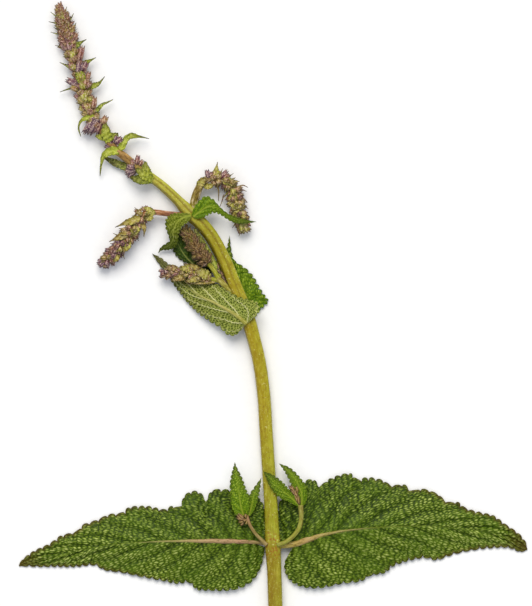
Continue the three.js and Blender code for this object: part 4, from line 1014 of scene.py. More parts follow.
def copying_tree():
    """Sets copies of a shape on points: turned, sized and tinted by numbers that each point carries."""
    tree, given = new_tree("copies on places", [
        ("Places", "Geometry"), ("Shape", "Object"), ("Size", "Float"), ("Seed", "Int"),
        ("Finish", "Material")], "Copies")
    shape = add_node(tree, "GeometryNodeObjectInfo", {"Object": given["Shape"]})
    turn = add_node(tree, "GeometryNodeInputNamedAttribute", {"data_type": "FLOAT_VECTOR", "Name": "turn"})
    grow = add_node(tree, "GeometryNodeInputNamedAttribute", {"data_type": "FLOAT_VECTOR", "Name": "grow"})
    sized = add_node(tree, "ShaderNodeVectorMath", {
        "operation": "SCALE", 0: grow.outputs[0], "Scale": given["Size"]})
    copies = add_node(tree, "GeometryNodeInstanceOnPoints", {
        "Points": given["Places"], "Instance": shape.outputs["Geometry"], "Rotation": turn.outputs[0],
        "Scale": sized.outputs[0]})
    chance = add_node(tree, "FunctionNodeRandomValue", {"data_type": "FLOAT", "Seed": given["Seed"]})
    tinted = add_node(tree, "GeometryNodeStoreNamedAttribute", {
        "data_type": "FLOAT", "domain": "INSTANCE", "Name": "chance", "Geometry": copies.outputs[0],
        "Value": chance.outputs[1]})
    plain = add_node(tree, "GeometryNodeRealizeInstances", {0: tinted.outputs[0]})
    finished = add_node(tree, "GeometryNodeSetMaterial", {
        "Geometry": plain.outputs[0], "Material": given["Finish"]})
    add_node(tree, "NodeGroupOutput", {0: finished.outputs[0]})
    return tree


def bake(mesh, tree, inputs):
    """The plain mesh that a tree makes of a mesh, with the tree's inputs set by their identifiers."""
    carrier = bpy.data.objects.new("carrier", mesh)
    bpy.context.scene.collection.objects.link(carrier)
    modifier = carrier.modifiers.new("tree", "NODES")
    modifier.node_group = tree
    for item in tree.interface.items_tree:
        if item.in_out == "INPUT" and item.name in inputs:
            modifier[item.identifier] = inputs[item.name]
    evaluated = carrier.evaluated_get(bpy.context.evaluated_depsgraph_get())
    made = bpy.data.meshes.new_from_object(evaluated)
    bpy.data.objects.remove(carrier)
    return made


copies_on_places = copying_tree()
print("nodes in the copying tree:", len(copies_on_places.nodes))

# %% Places for the copies
def turn_towards(aim, face):
    """The Euler angles that turn +Z along the aim, with +Y as near the face direction as it can be."""
    aim = unit(np.asarray(aim, float))
    side = np.cross(np.asarray(face, float), aim)
    if np.linalg.norm(side) < 1e-6:
        side = np.cross([0.3, 1, 0], aim)
    side = unit(side)
    up = np.cross(aim, side)
    pitch = math.asin(max(-1.0, min(1.0, -side[2])))
    return [math.atan2(up[2], aim[2]), pitch, math.atan2(side[1], side[0])]


def copied_piece(node, part, shape, places, material, seed):
    """One piece of all copies. A place is foot, aim, face, length, radius and ripeness."""
    mesh = bpy.data.meshes.new("places")
    mesh.from_pydata([(np.array(place[0]) * MM).tolist() for place in places], [], [])
    turns = np.array([turn_towards(place[1], place[2]) for place in places], np.float32)
    sizes = np.array([[place[4], place[4], place[3]] for place in places], np.float32)
    ripe = np.array([place[5] for place in places], np.float32)
    mesh.attributes.new("turn", "FLOAT_VECTOR", "POINT").data.foreach_set("vector", turns.ravel())
    mesh.attributes.new("grow", "FLOAT_VECTOR", "POINT").data.foreach_set("vector", sizes.ravel())
    mesh.attributes.new("ripe", "FLOAT", "POINT").data.foreach_set("value", ripe)
    made = bake(mesh, copies_on_places, {"Shape": shape, "Size": MM, "Seed": seed, "Finish": material})
    made.name = f"{node}_{part}"
    return finish_piece(made.name, made, material, node)


# %% [markdown]
# A calyx is olive when young, tan later and dusky purple when ripe. Its ribs are paler with down and
# carry painted highlights, pale specks of painted highlight lie over it, and the hollows between its ribs
# and the foot of every part get painted shade. A bract is yellow-green to straw with a brown tip and dark
# margins. Both colours follow a ripeness that every copy carries, with a little chance on top, so no two
# are alike.

# %% Calyx and bract materials
def spike_material(name, shades, rib, hollow, tip, tip_from):
    """Gives the eye small downy parts that ripen. Rib, hollow and tip are a share and a colour each.
    Rib lightens the ribs, partly as painted highlight, and pale specks are painted highlights. Hollow paints
    shade between a calyx's ribs and at the foot of every part, and darkens a bract's margins.
    """
    material, output = new_material(name)
    tree = material.node_tree
    kept = {label: add_node(tree, "ShaderNodeAttribute", {"attribute_name": label}).outputs["Fac"]
            for label in ("ripe", "chance", "rib", "rise")}
    place = add_node(tree, "ShaderNodeTexCoord").outputs["Object"]
    blotch, fuzz = [
        add_node(tree, "ShaderNodeTexNoise", {"Scale": 1 / (size * MM), "Detail": detail, "Vector": place})
        .outputs["Fac"] for size, detail in ((1.1, 3.0), (0.4, 2.0))]
    shift = add_node(tree, "ShaderNodeMath", {"operation": "MULTIPLY_ADD", 0: blotch, 1: 0.9, 2: -0.45})
    odd = add_node(tree, "ShaderNodeMath", {"operation": "MULTIPLY_ADD", 0: kept["chance"], 1: 0.3, 2: -0.15})
    moved = add_node(tree, "ShaderNodeMath", {"operation": "ADD", 0: shift.outputs[0], 1: odd.outputs[0]})
    ripe = add_node(tree, "ShaderNodeMath", {"operation": "ADD", 0: kept["ripe"], 1: moved.outputs[0]})
    base = add_node(tree, "ShaderNodeValToRGB", {"Fac": ripe.outputs[0], "stops": shades}).outputs["Color"]
    # Painted light and shade: the foot and the hollows between ribs get painted shade, the ribs and the pale
    # specks painted highlights.
    tone = layered(tree, base, [
        (kept["rise"], 0.0, 0.35, 0.7, 0.0, hollow[1]), (kept["rib"], 0.5, 1.0, 0.0, *rib),
        (kept["rib"], 0.0, 0.5, hollow[0], 0.0, hollow[1]), (kept["rise"], tip_from, 1.0, 0.0, *tip),
        (fuzz, 0.54, 0.66, 0.0, 0.7, rib[1]),
    ])
    soft_skin(tree, output, tone, fuzz, strength=0.5, depth=0.15, roughness=0.5, gloss=0.2)
    return material


calyx_skin = spike_material(
    "ribbed calyx", [(0.0, "#a8a830"), (0.25, "#a08c34"), (0.45, "#92643e"), (0.65, "#844a42"),
                     (0.85, "#784a58"), (1.0, "#66465a")],
    rib=(0.28, "#f4dac2"), hollow=(0.48, "#200e0c"), tip=(0.78, "#24100e"), tip_from=0.7)
shaded_bud = spike_material(
    "shaded brown bud", [(0.0, "#7c7620"), (0.3, "#8a7030"), (0.5, "#886438"), (0.75, "#785442"),
                         (1.0, "#5e4a4c")],
    rib=(0.4, "#bca272"), hollow=(0.9, "#171006"), tip=(0.85, "#1c130a"), tip_from=0.66)
leafy_bract = spike_material(
    "leafy bract", [(0.0, "#b4bc34"), (0.25, "#9ca628"), (0.5, "#647414"), (0.75, "#4c3c18"),
                    (1.0, "#30201a")],
    rib=(0.55, "#d2d670"), hollow=(0.6, "#384406"), tip=(0.9, "#38300f"), tip_from=0.3)
straw_bract = spike_material(
    "straw-green bract", [(0.0, "#aaa63a"), (0.25, "#a28e36"), (0.5, "#8a7030"), (0.75, "#7a4e42"),
                          (1.0, "#54323a")],
    rib=(0.32, "#dccf98"), hollow=(0.7, "#38280c"), tip=(0.85, "#40221a"), tip_from=0.5)
axis_skin = stalk_material(
    "spike axis", [(0.0, "#948636"), (0.1, "#9c7a40"), (0.25, "#946c3c"), (0.6, "#7d5a38"), (1.0, "#6c4a3a")],
    "#cfa468", "#54300f")
spike_skins = (calyx_skin, shaded_bud, leafy_bract, straw_bract, axis_skin)
print("spike finishes:", [skin.name for skin in spike_skins])

# %% [markdown]
# A spike is a thin axis with rings of calyces that stand closer and closer together towards the tip. The
# rings of the solid model are kept, with more calyces in each. Every second ring is turned by half a step.
# Those that face the viewer are greener than those at the sides, as on the real spikes. Nothing may reach
# below the surface that the plant lies on, so downward calyces are shortened there. A rule places the
# crowded ones, and the few large clusters that catch the eye are placed one by one, from foot to tip.

# %% Rings of calyces along a spike
def kept_above(foot, aim, length, radius, lowest):
    """The length that keeps a part above a height."""
    if aim[2] >= 0:
        return length
    return min(length, (foot[2] - lowest - 0.6 * radius) / -aim[2])


def ring_shares(first, count, ratio):
    """Where along its course each ring of a spike stands."""
    steps = np.arange(count)
    return first + (1 - first) * (1 - ratio**steps) / (1 - ratio ** (count - 0.4))


def ring_places(course, shares, around, length, radius, sizes, opening, ripe, spread, seed,
                lowest=0.6, highest=7.6):
    """Places for calyces round the axis, from lists of sizes, opening angles and ripeness along the spike."""
    places = []
    for ring, share in enumerate(shares):
        centre, forward = at(course, share), heading(course, share)
        left, face = across(forward)
        along_spike = ring / max(len(shares) - 1, 1)
        size = along(sizes, along_spike)
        number = int(round(along(around, along_spike)))
        half_step = 0.5 * (ring % 2)
        for i in range(number):
            luck = scatter_of([ring, ring + 50, ring + 90, ring + 130], i, seed)
            angle = 2 * math.pi * (i + half_step + 0.4 * (luck[0] - 0.5)) / number + math.pi / 2
            outward = math.cos(angle) * left + math.sin(angle) * face
            tilt = along(opening, along_spike) * (0.7 + 0.6 * luck[1])
            aim = math.sin(tilt) * outward + math.cos(tilt) * forward
            foot = centre + 0.5 * size * radius * outward + 0.5 * (luck[2] - 0.5) * forward
            wanted = size * length * (0.8 + 0.4 * luck[3])
            kept = kept_above(foot, aim, wanted, size * radius, lowest)
            if aim[2] > 0:
                kept = min(kept, (highest - foot[2]) / aim[2])
            if kept > 0.45 * wanted:
                ripeness = along(ripe, along_spike) + spread * (luck[2] - 0.5) - 0.2 * math.sin(angle)
                places.append((foot, aim, outward, kept, size * radius, ripeness))
    return places


def from_to(rows):
    """Places from rows of foot, tip, radius and ripeness."""
    places = []
    for foot, tip, radius, ripeness in rows:
        foot, tip = np.array(foot, float), np.array(tip, float)
        aim = tip - foot
        places.append((foot, aim, UP, float(np.linalg.norm(aim)), radius, ripeness))
    return places


print("rings of a short spike stand at", ring_shares(0.3, 5, 0.9).round(2).tolist())

# %% [markdown]
# The large bracts differ too much to be copies. Each is a sheet along a midline of its own, cupped across
# it, notched and ruffled along its margins, as the two wings of a real bract crumple while it dries.

# %% A bract of given shape
BRACT_STEPS = 24
BRACT_HALF_STEPS = 5
BRACT_CUP = 0.25
BRACT_WAVES = 5
BRACT_THICKNESS = 0.24
LOWEST_BRACT = 0.35


def bract_sheet(shells, points, halves, ripe, ruffle):
    """Adds a bract along its own midline, from its half widths, its ripeness and the size of its ruffles."""
    course = course_of(points)
    share = np.linspace(0, 1, BRACT_STEPS + 1)
    side = np.linspace(-1, 1, 2 * BRACT_HALF_STEPS + 1)
    edge = np.abs(side[None])
    left, face = across(heading(course, share))
    notch = 1 - 0.14 * (np.arange(BRACT_STEPS + 1) % 3 == 2) * np.clip(2 - 2 * share, 0, 1)
    half = np.maximum(along(halves, share) * notch, 0.1)[:, None]
    turn = BRACT_WAVES * 2 * math.pi * share[:, None] + 2.2 * side[None]
    frill = 1.3 * ruffle * (np.sin(turn) * edge**1.2 + 0.35 * np.sin(2.6 * turn + 3 * side[None]))
    lift = BRACT_CUP * half * side[None] ** 2 + frill
    outward, upward = (half * side[None])[..., None] * left[:, None], lift[..., None] * face[:, None]
    grid = at(course, share)[:, None] + outward + upward
    grid[..., 2] = np.maximum(grid[..., 2], LOWEST_BRACT)
    offset = face[:, None] * BRACT_THICKNESS / 2
    made, faces = sheet_shell(grid + offset, grid - offset)
    net = np.cos(7.8 * math.pi * share[:, None] - 4 * edge)
    rib = np.clip(0.5 + 0.32 * net + 0.5 * np.exp(-((edge / 0.14) ** 2)) - 0.9 * edge**5, 0, 1)
    rise = np.repeat(0.3 + 0.7 * share**1.5, len(side))
    shells.add(made, faces, rise=np.tile(rise, 2), rib=np.tile(rib.ravel(), 2), ripe=ripe,
               chance=scatter_of(0, points[0][0], ripe))


def bract_piece(node, material, rows):
    """One piece of bracts, from rows of midline, half widths, ripeness and ruffle."""
    shells = Shells()
    for row in rows:
        bract_sheet(shells, *row)
    return shells.make(f"{node}_bracts", material, node)


# %% [markdown]
# The stem ends in its longest spike. Low down its rings of calyces stand apart, and each sits between two
# leafy bracts. Towards the tip they close up into a cone of buds too young to open. So it is made in
# three steps: the axis, then the clusters, then the cone with its scales, and the leafy bracts come last.

# %% The axis of the top spike
TOP_COURSE = [[-45.9, 52.7, 3], [-47.7, 54, 3], [-51.6, 57.4, 3.1], [-55.3, 60.3, 3.1], [-59, 64.9, 3],
              [-61.8, 68.8, 3], [-64.5, 72.9, 3], [-66, 77.6, 2.9], [-67, 82.9, 2.9], [-69.2, 90, 2.8],
              [-71.5, 96, 2.6], [-73.5, 104, 2.3], [-75.7, 111.7, 2]]
top_course = course_of(TOP_COURSE)
stalk_piece("terminal_spike", "axis", axis_skin, TOP_COURSE,
            [1.45, 1.4, 1.3, 1.25, 1.15, 0.9, 0.8], 120)

# %% Its clusters of calyces
top_calyces = from_to([
    ([-48.4, 53.4, 4.0], [-52.6, 52.4, 4.2], 1.15, 0.95), ([-48.4, 52.9, 3.6], [-51.8, 50.9, 3.2], 1.0, 0.9),
    ([-48.8, 53.8, 4.6], [-52.0, 54.6, 4.9], 1.1, 0.85), ([-48.2, 55.0, 4.0], [-47.4, 58.8, 3.8], 0.95, 0.62),
    ([-47.2, 54.6, 3.8], [-45.9, 57.0, 3.0], 0.8, 0.5), ([-49.4, 54.6, 4.6], [-49.6, 57.4, 4.8], 0.8, 0.7),
    ([-55.8, 62.6, 4.4], [-52.9, 64.7, 4.4], 1.25, 0.95), ([-56.2, 63.0, 4.4], [-54.8, 65.5, 4.5], 1.1, 0.85),
    ([-57.2, 62.4, 3.8], [-56.6, 64.6, 4.0], 0.8, 0.7), ([-57.2, 61.0, 3.6], [-59.6, 61.9, 3.4], 0.75, 0.95),
    ([-61.8, 72.0, 4.0], [-65.9, 65.8, 3.4], 2.15, 1.0), ([-60.9, 70.2, 4.4], [-62.6, 65.8, 3.8], 1.3, 0.85),
    ([-63.6, 70.6, 3.4], [-67.3, 66.0, 2.4], 1.1, 0.95), ([-60.4, 69.2, 4.0], [-58.5, 72.5, 4.0], 1.25, 0.42),
    ([-63.5, 74.6, 4.2], [-62.8, 79.4, 4.2], 1.15, 0.6), ([-67.2, 77.6, 3.2], [-70.4, 80.1, 2.9], 0.9, 0.7),
    ([-65.8, 79.0, 3.6], [-64.1, 82.2, 3.4], 0.95, 0.55), ([-66.6, 77.6, 4.0], [-67.0, 81.4, 5.0], 1.35, 0.0),
    ([-64.8, 73.6, 4.0], [-66.4, 77.6, 4.8], 1.2, 0.15), ([-68.3, 83.0, 3.6], [-73.2, 85.5, 3.4], 1.35, 0.85),
    ([-66.5, 82.2, 4.1], [-65.5, 85.8, 4.6], 1.25, 0.4), ([-65.9, 84.2, 3.8], [-64.7, 88.3, 3.6], 1.0, 0.55),
    ([-68.6, 81.4, 3.8], [-71.7, 82.9, 3.4], 1.1, 0.32), ([-68.9, 87.2, 4.1], [-67.8, 92.0, 5.1], 1.5, 0.88),
    ([-67.6, 88.0, 3.9], [-65.3, 91.7, 4.3], 1.3, 0.72), ([-69.9, 88.2, 3.9], [-71.9, 91.5, 3.9], 1.2, 0.7),
    ([-68.6, 91.3, 3.9], [-67.0, 97.4, 3.9], 1.25, 0.55), ([-70.4, 91.2, 3.2], [-73.4, 93.7, 2.9], 0.9, 0.8),
    ([-70.3, 92.0, 4.2], [-71.1, 95.6, 4.8], 1.15, 0.1), ([-71.2, 94.8, 3.9], [-72.6, 99.6, 4.7], 1.3, 0.82),
    ([-72.0, 95.6, 3.7], [-75.3, 98.7, 3.7], 1.2, 0.85), ([-70.6, 95.8, 3.9], [-70.5, 99.8, 4.2], 1.2, 0.58),
    ([-72.8, 98.4, 3.5], [-76.1, 100.6, 3.3], 1.05, 0.85),
    ([-70.6, 98.2, 3.5], [-69.1, 102.2, 3.3], 1.0, 0.5),
    ([-71.4, 98.6, 4.0], [-71.6, 102.4, 4.4], 1.05, 0.45),
])
top_calyces += ring_places(
    top_course, np.linspace(0.33, 0.8, 14), around=[5, 6, 6, 7], length=3.1, radius=1.15, sizes=[1, 1, 1, 1],
    opening=[0.95, 0.85], ripe=[0.45, 0.4, 0.55, 0.6], spread=0.55, seed=21)
copied_piece("terminal_spike", "calyces", calyx_shape, top_calyces, calyx_skin, 3)

# %% Its cone of buds and its scales
cone_buds = ring_places(
    top_course, np.linspace(0.78, 0.975, 19), around=[11, 11, 10, 7], length=3.2, radius=0.72,
    sizes=[1.15, 1.1, 1, 0.75], opening=[1.15, 1.05, 0.9, 0.4], ripe=[0.62, 0.58, 0.56, 0.62], spread=0.45,
    seed=22)
copied_piece("terminal_spike", "cone", bud_shape, cone_buds, calyx_skin, 13)
top_scales = ring_places(
    top_course, np.linspace(0.79, 0.96, 12), around=[3, 4, 4, 3], length=3.5, radius=0.7,
    sizes=[1.1, 1.05, 0.95, 0.6], opening=[1.15, 1.05, 0.9, 0.4], ripe=[0.6, 0.7, 0.65, 0.8], spread=0.5,
    seed=23)
top_scales += ring_places(
    top_course, np.linspace(0.35, 0.77, 9), around=[3, 4], length=3.4, radius=1.0, sizes=[1], opening=[0.9],
    ripe=[0.2, 0.4], spread=0.5, seed=24)
copied_piece("terminal_spike", "scales", bract_shape, top_scales, straw_bract, 4)

# %% Its leafy bracts
bract_piece("terminal_spike", leafy_bract, [
    ([[-42.7, 49.5, 4.4], [-44.2, 51.9, 5.8], [-45.0, 54.3, 5.4], [-45.0, 56.3, 4.4]],
     [0.8, 1.5, 1.7, 1.2, 0.3], 0.1, 0.4),
    ([[-42.7, 49.3, 4.4], [-45.4, 49.7, 5.6], [-48.0, 50.1, 5.0], [-50.3, 50.7, 4.0]],
     [0.8, 1.4, 1.8, 1.3, 0.3], 0.25, 0.4),
    ([[-43.2, 49.7, 4.8], [-45.2, 51.4, 6.1], [-48.3, 53.7, 5.4]], [0.9, 1.6, 1.9, 1.2, 0.5], -0.1, 0.3),
    ([[-49.0, 52.4, 1.6], [-51.9, 54.3, 1.6], [-55.8, 55.9, 1.5], [-59.7, 57.9, 1.8]],
     [1.0, 1.5, 1.3, 0.4], 0.5, 0.1),
    ([[-54.4, 60.0, 4.2], [-57.2, 59.9, 4.7], [-59.6, 58.4, 4.2], [-60.6, 55.4, 3.0], [-61.1, 51.2, 1.6]],
     [1.3, 1.7, 1.4, 0.8, 0.42, 0.32, 0.1], 0.3, 0.15),
    ([[-54.4, 60.3, 3.8], [-53.0, 62.1, 4.6], [-51.9, 64.2, 4.4], [-50.2, 65.3, 4.2], [-47.3, 65.1, 3.6],
      [-43.8, 64.4, 2.8]], [1.0, 1.4, 1.2, 1.1, 1.1, 0.5, 0.25, 0.1], 0.25, 0.2),
    ([[-58.0, 63.2, 4.2], [-58.8, 66.2, 5.6], [-59.3, 70.3, 4.4]], [1.2, 2.1, 1.4, 0.3], -0.05, 0.45),
    ([[-58.6, 63.8, 4.0], [-57.0, 65.0, 5.0], [-54.6, 65.9, 4.0]], [1.2, 1.4, 0.5], 0.2, 0.3),
    ([[-59.4, 64.2, 4.6], [-61.2, 65.0, 4.8], [-62.6, 65.3, 4.2]], [0.9, 1.1, 0.3], 0.15, 0.2),
    ([[-62.3, 71.5, 4.4], [-65.1, 71.7, 4.6], [-67.5, 70.8, 4.2], [-68.6, 68.3, 3.0], [-67.9, 65.2, 1.8]],
     [1.2, 1.3, 0.9, 0.5, 0.34, 0.28, 0.1], 0.35, 0.1),
    ([[-62.4, 74.0, 3.4], [-60.2, 76.4, 3.6], [-58.4, 77.2, 3.0], [-56.5, 78.2, 2.5]],
     [0.9, 0.8, 0.5, 0.28, 0.1], 0.4, 0.15),
    ([[-68.2, 82.4, 3.6], [-71.7, 82.0, 3.2], [-75.2, 80.9, 2.2]], [1.2, 0.5, 0.25, 0.08], 0.6, 0.0),
    ([[-66.0, 83.0, 3.2], [-63.6, 83.0, 3.6], [-61.6, 83.8, 3.2], [-59.4, 86.3, 2.8]],
     [1.1, 1.3, 0.9, 0.32, 0.1], 0.4, 0.15),
    ([[-67.4, 84.6, 4.4], [-68.0, 86.4, 5.4], [-69.0, 88.4, 4.8]], [1.5, 1.8, 0.9], 0.0, 0.3),
    ([[-69.8, 89.0, 3.4], [-72.4, 90.0, 3.2], [-75.3, 91.3, 2.4]], [1.1, 0.8, 0.3, 0.08], 0.8, 0.0),
    ([[-67.4, 90.6, 3.4], [-64.8, 91.8, 3.4], [-62.5, 93.0, 2.6]], [1.0, 0.9, 0.35, 0.1], 0.3, 0.15),
    ([[-72.4, 96.6, 3.2], [-74.6, 96.8, 3.0], [-76.9, 97.3, 2.4]], [0.6, 0.35, 0.2, 0.06], 0.9, 0.0),
    ([[-70.6, 96.4, 3.4], [-68.4, 97.9, 3.6], [-65.9, 99.4, 2.6]], [1.1, 1.1, 0.4, 0.1], 0.4, 0.1),
    ([[-74.2, 101.0, 2.8], [-76.4, 101.4, 2.6], [-78.5, 102.0, 2.2]], [0.6, 0.3, 0.18, 0.05], 0.9, 0.0),
    ([[-74.4, 102.4, 2.8], [-76.0, 102.8, 2.6], [-77.4, 103.7, 2.2]], [0.5, 0.3, 0.18, 0.05], 0.9, 0.0),
    ([[-75.0, 104.6, 2.6], [-77.0, 105.2, 2.4], [-79.2, 105.7, 2.0]], [0.5, 0.3, 0.2, 0.08], 0.9, 0.0),
    ([[-75.4, 107.2, 2.4], [-76.8, 107.8, 2.3], [-78.5, 109.1, 2.0]], [0.5, 0.3, 0.18, 0.05], 0.9, 0.0),
    ([[-72.4, 101.6, 2.8], [-70.8, 103.0, 2.6], [-69.5, 105.3, 2.2]], [0.6, 0.4, 0.25, 0.08], 0.75, 0.0),
    ([[-73.4, 104.8, 2.6], [-71.6, 106.4, 2.5], [-70.4, 108.6, 2.1]], [0.6, 0.45, 0.25, 0.08], 0.75, 0.0),
    ([[-74.6, 107.8, 2.4], [-73.6, 109.0, 2.3], [-72.8, 111.0, 2.0]], [0.5, 0.4, 0.2, 0.05], 0.75, 0.0),
])

# %% [markdown]
# Two stalked spikes leave the upper node. The left one has a reddish stalk, bends over and droops, and
# its rings stand so close that the axis hardly shows. It ripens from olive at the bend to purple at the
# tip, which the list of ripeness along the spike says in five numbers. A bent copy of the top spike would
# be quicker, but its rings, ages and stalk are all different.

# %% The drooping spike on the left
LEFT_SPIKE = [[-29.6, 37, 4], [-37.5, 37.9, 3.8], [-41.6, 38.4, 3.8], [-44.2, 38.4, 3.7], [-46.6, 36.8, 3.6],
              [-50.5, 31.4, 3.4], [-55.1, 25.2, 3.2], [-60, 20.4, 3]]
left_course = course_of(LEFT_SPIKE)
red_stalk = stalk_material(
    "reddish stalk",
    [(0.0, "#94743c"), (0.15, "#946048"), (0.34, "#a0682c"), (0.6, "#7d5c30"), (1.0, "#6e4638")],
    "#d0a286", "#4c1e18", 0.8)
stalk_piece("side_spike_left", "axis", red_stalk, LEFT_SPIKE,
            [1.15, 1.0, 1.05, 1.0, 0.9, 0.7], 90)

# %% Its rings of calyces and its bracts
left_calyces = ring_places(
    left_course, ring_shares(0.38, 13, 0.96), around=[5, 6, 7, 7, 6], length=3.4, radius=1.0,
    sizes=[0.85, 1, 1, 0.95, 0.8], opening=[1.2, 1.1, 1.0, 0.85, 0.6], ripe=[0.55, 0.6, 0.68, 0.8, 0.92],
    spread=0.55, seed=31)
copied_piece("side_spike_left", "calyces", calyx_shape, left_calyces, calyx_skin, 5)
left_scales = ring_places(
    left_course, ring_shares(0.36, 14, 0.96), around=[3, 4, 4, 3], length=3.8, radius=1.15,
    sizes=[0.9, 1.1, 1, 0.6], opening=[1.1, 1.05, 0.9, 0.6], ripe=[0.15, 0.25, 0.45, 0.8], spread=0.5,
    seed=32)
copied_piece("side_spike_left", "scales", bract_shape, left_scales, straw_bract, 6)
bract_piece("side_spike_left", straw_bract, [
    ([[-42.0, 37.4, 4.8], [-43.6, 39.2, 5.6], [-45.4, 39.8, 4.8], [-48.4, 38.2, 3.6]],
     [1.1, 1.2, 0.6, 0.3, 0.1], 0.0, 0.2),
    ([[-43.0, 39.6, 4.4], [-46.6, 39.3, 4.6], [-48.8, 37.0, 3.4], [-49.6, 35.0, 2.8]],
     [0.7, 0.5, 0.35, 0.1], 0.4, 0.0),
    ([[-42.6, 37.0, 5.0], [-43.8, 36.2, 5.4], [-45.2, 36.6, 5.0]], [0.9, 1.1, 0.4], 0.15, 0.25),
    ([[-46.8, 36.6, 4.8], [-49.2, 35.4, 5.9], [-52.0, 34.6, 4.8], [-55.7, 33.1, 3.2]],
     [0.9, 1.5, 1.2, 0.4, 0.1], 0.12, 0.2),
    ([[-46.4, 35.0, 4.8], [-45.4, 32.6, 4.6], [-45.6, 29.8, 3.0]], [0.9, 1.0, 0.35, 0.1], 0.3, 0.1),
    ([[-47.4, 34.0, 5.0], [-48.6, 31.6, 5.9], [-49.8, 29.8, 5.0]], [0.9, 1.5, 1.2, 0.3], 0.05, 0.2),
    ([[-51.4, 31.2, 5.0], [-53.4, 30.0, 5.7], [-55.6, 29.0, 4.8], [-57.8, 28.0, 3.6]],
     [0.9, 1.5, 1.1, 0.4, 0.1], 0.25, 0.15),
    ([[-50.8, 28.0, 4.8], [-51.6, 26.0, 5.4], [-53.4, 24.6, 4.6]], [0.9, 1.4, 1.0, 0.2], 0.15, 0.15),
    ([[-54.6, 23.4, 4.6], [-55.4, 22.0, 5.0], [-56.8, 20.8, 4.4]], [0.8, 1.2, 0.8, 0.2], 0.3, 0.15),
])

# %% [markdown]
# The right spike has a tan stalk with pale streaks. It rises, arches over and hangs down behind the
# crossing leaf. Its bracts stand out as thin points along the outer side, and a little tuft of green buds
# ends it. Those points are what the eye finds first, so each is a sheet of its own and not a copy.

# %% The arching spike on the right
RIGHT_SPIKE = [[-28.4, 37.4, 4], [-27.4, 43.7, 3.9], [-24.6, 49.2, 3.8], [-21.6, 50.3, 3.7],
               [-18.1, 49.9, 3.6], [-15.1, 48.2, 3.4], [-13.1, 42, 3], [-11.4, 35.3, 2.8], [-10.5, 32.6, 2.8]]
right_course = course_of(RIGHT_SPIKE)
tan_stalk = stalk_material(
    "tan streaked stalk", [(0.0, "#8c8830"), (0.15, "#86742c"), (0.35, "#7c6428"), (1.0, "#6f6a30")],
    "#dcc6a6", "#452a0a", 0.85)
stalk_piece("side_spike_right", "axis", tan_stalk, RIGHT_SPIKE,
            [1.55, 1.5, 1.3, 1.05, 0.9, 0.7], 90)

# %% Its calyces and its tip
right_calyces = ring_places(
    right_course, ring_shares(0.4, 12, 0.97), around=[5, 6, 6, 6, 6], length=3.1, radius=1.0,
    sizes=[0.9, 1, 1.05, 1.0, 0.9], opening=[1.2, 1.1, 1.05, 0.9, 0.6], ripe=[0.6, 0.5, 0.45, 0.45, 0.3],
    spread=0.6, seed=41)
right_calyces += from_to([
    ([-22.6, 50.2, 4.4], [-23.4, 53.6, 4.4], 1.05, 0.8), ([-18.8, 50.0, 4.4], [-15.9, 53.4, 4.2], 0.95, 0.8),
    ([-20.6, 50.4, 4.6], [-20.4, 53.4, 4.6], 0.9, 0.2), ([-14.6, 46.0, 3.6], [-10.8, 46.4, 3.2], 0.85, 0.7),
])
right_tip = from_to([
    ([-11.4, 35.2, 3.6], [-10.2, 30.6, 3.6], 1.15, 0.1), ([-11.8, 35.0, 3.2], [-12.2, 31.0, 2.8], 0.9, 0.45),
    ([-10.8, 35.2, 3.0], [-8.2, 31.8, 2.8], 0.9, 0.6), ([-11.2, 35.0, 4.2], [-11.2, 31.2, 4.8], 0.9, 0.0),
    ([-10.6, 34.8, 3.8], [-9.0, 31.0, 4.2], 0.9, 0.3), ([-12.0, 36.0, 3.4], [-13.2, 32.8, 3.0], 0.7, 0.6),
    ([-10.2, 36.0, 3.2], [-7.8, 33.4, 3.0], 0.7, 0.7), ([-10.9, 34.6, 3.0], [-10.4, 30.6, 2.4], 0.8, 0.5),
])
copied_piece("side_spike_right", "tip", bud_shape, right_tip, calyx_skin, 17)
copied_piece("side_spike_right", "calyces", calyx_shape, right_calyces, calyx_skin, 7)

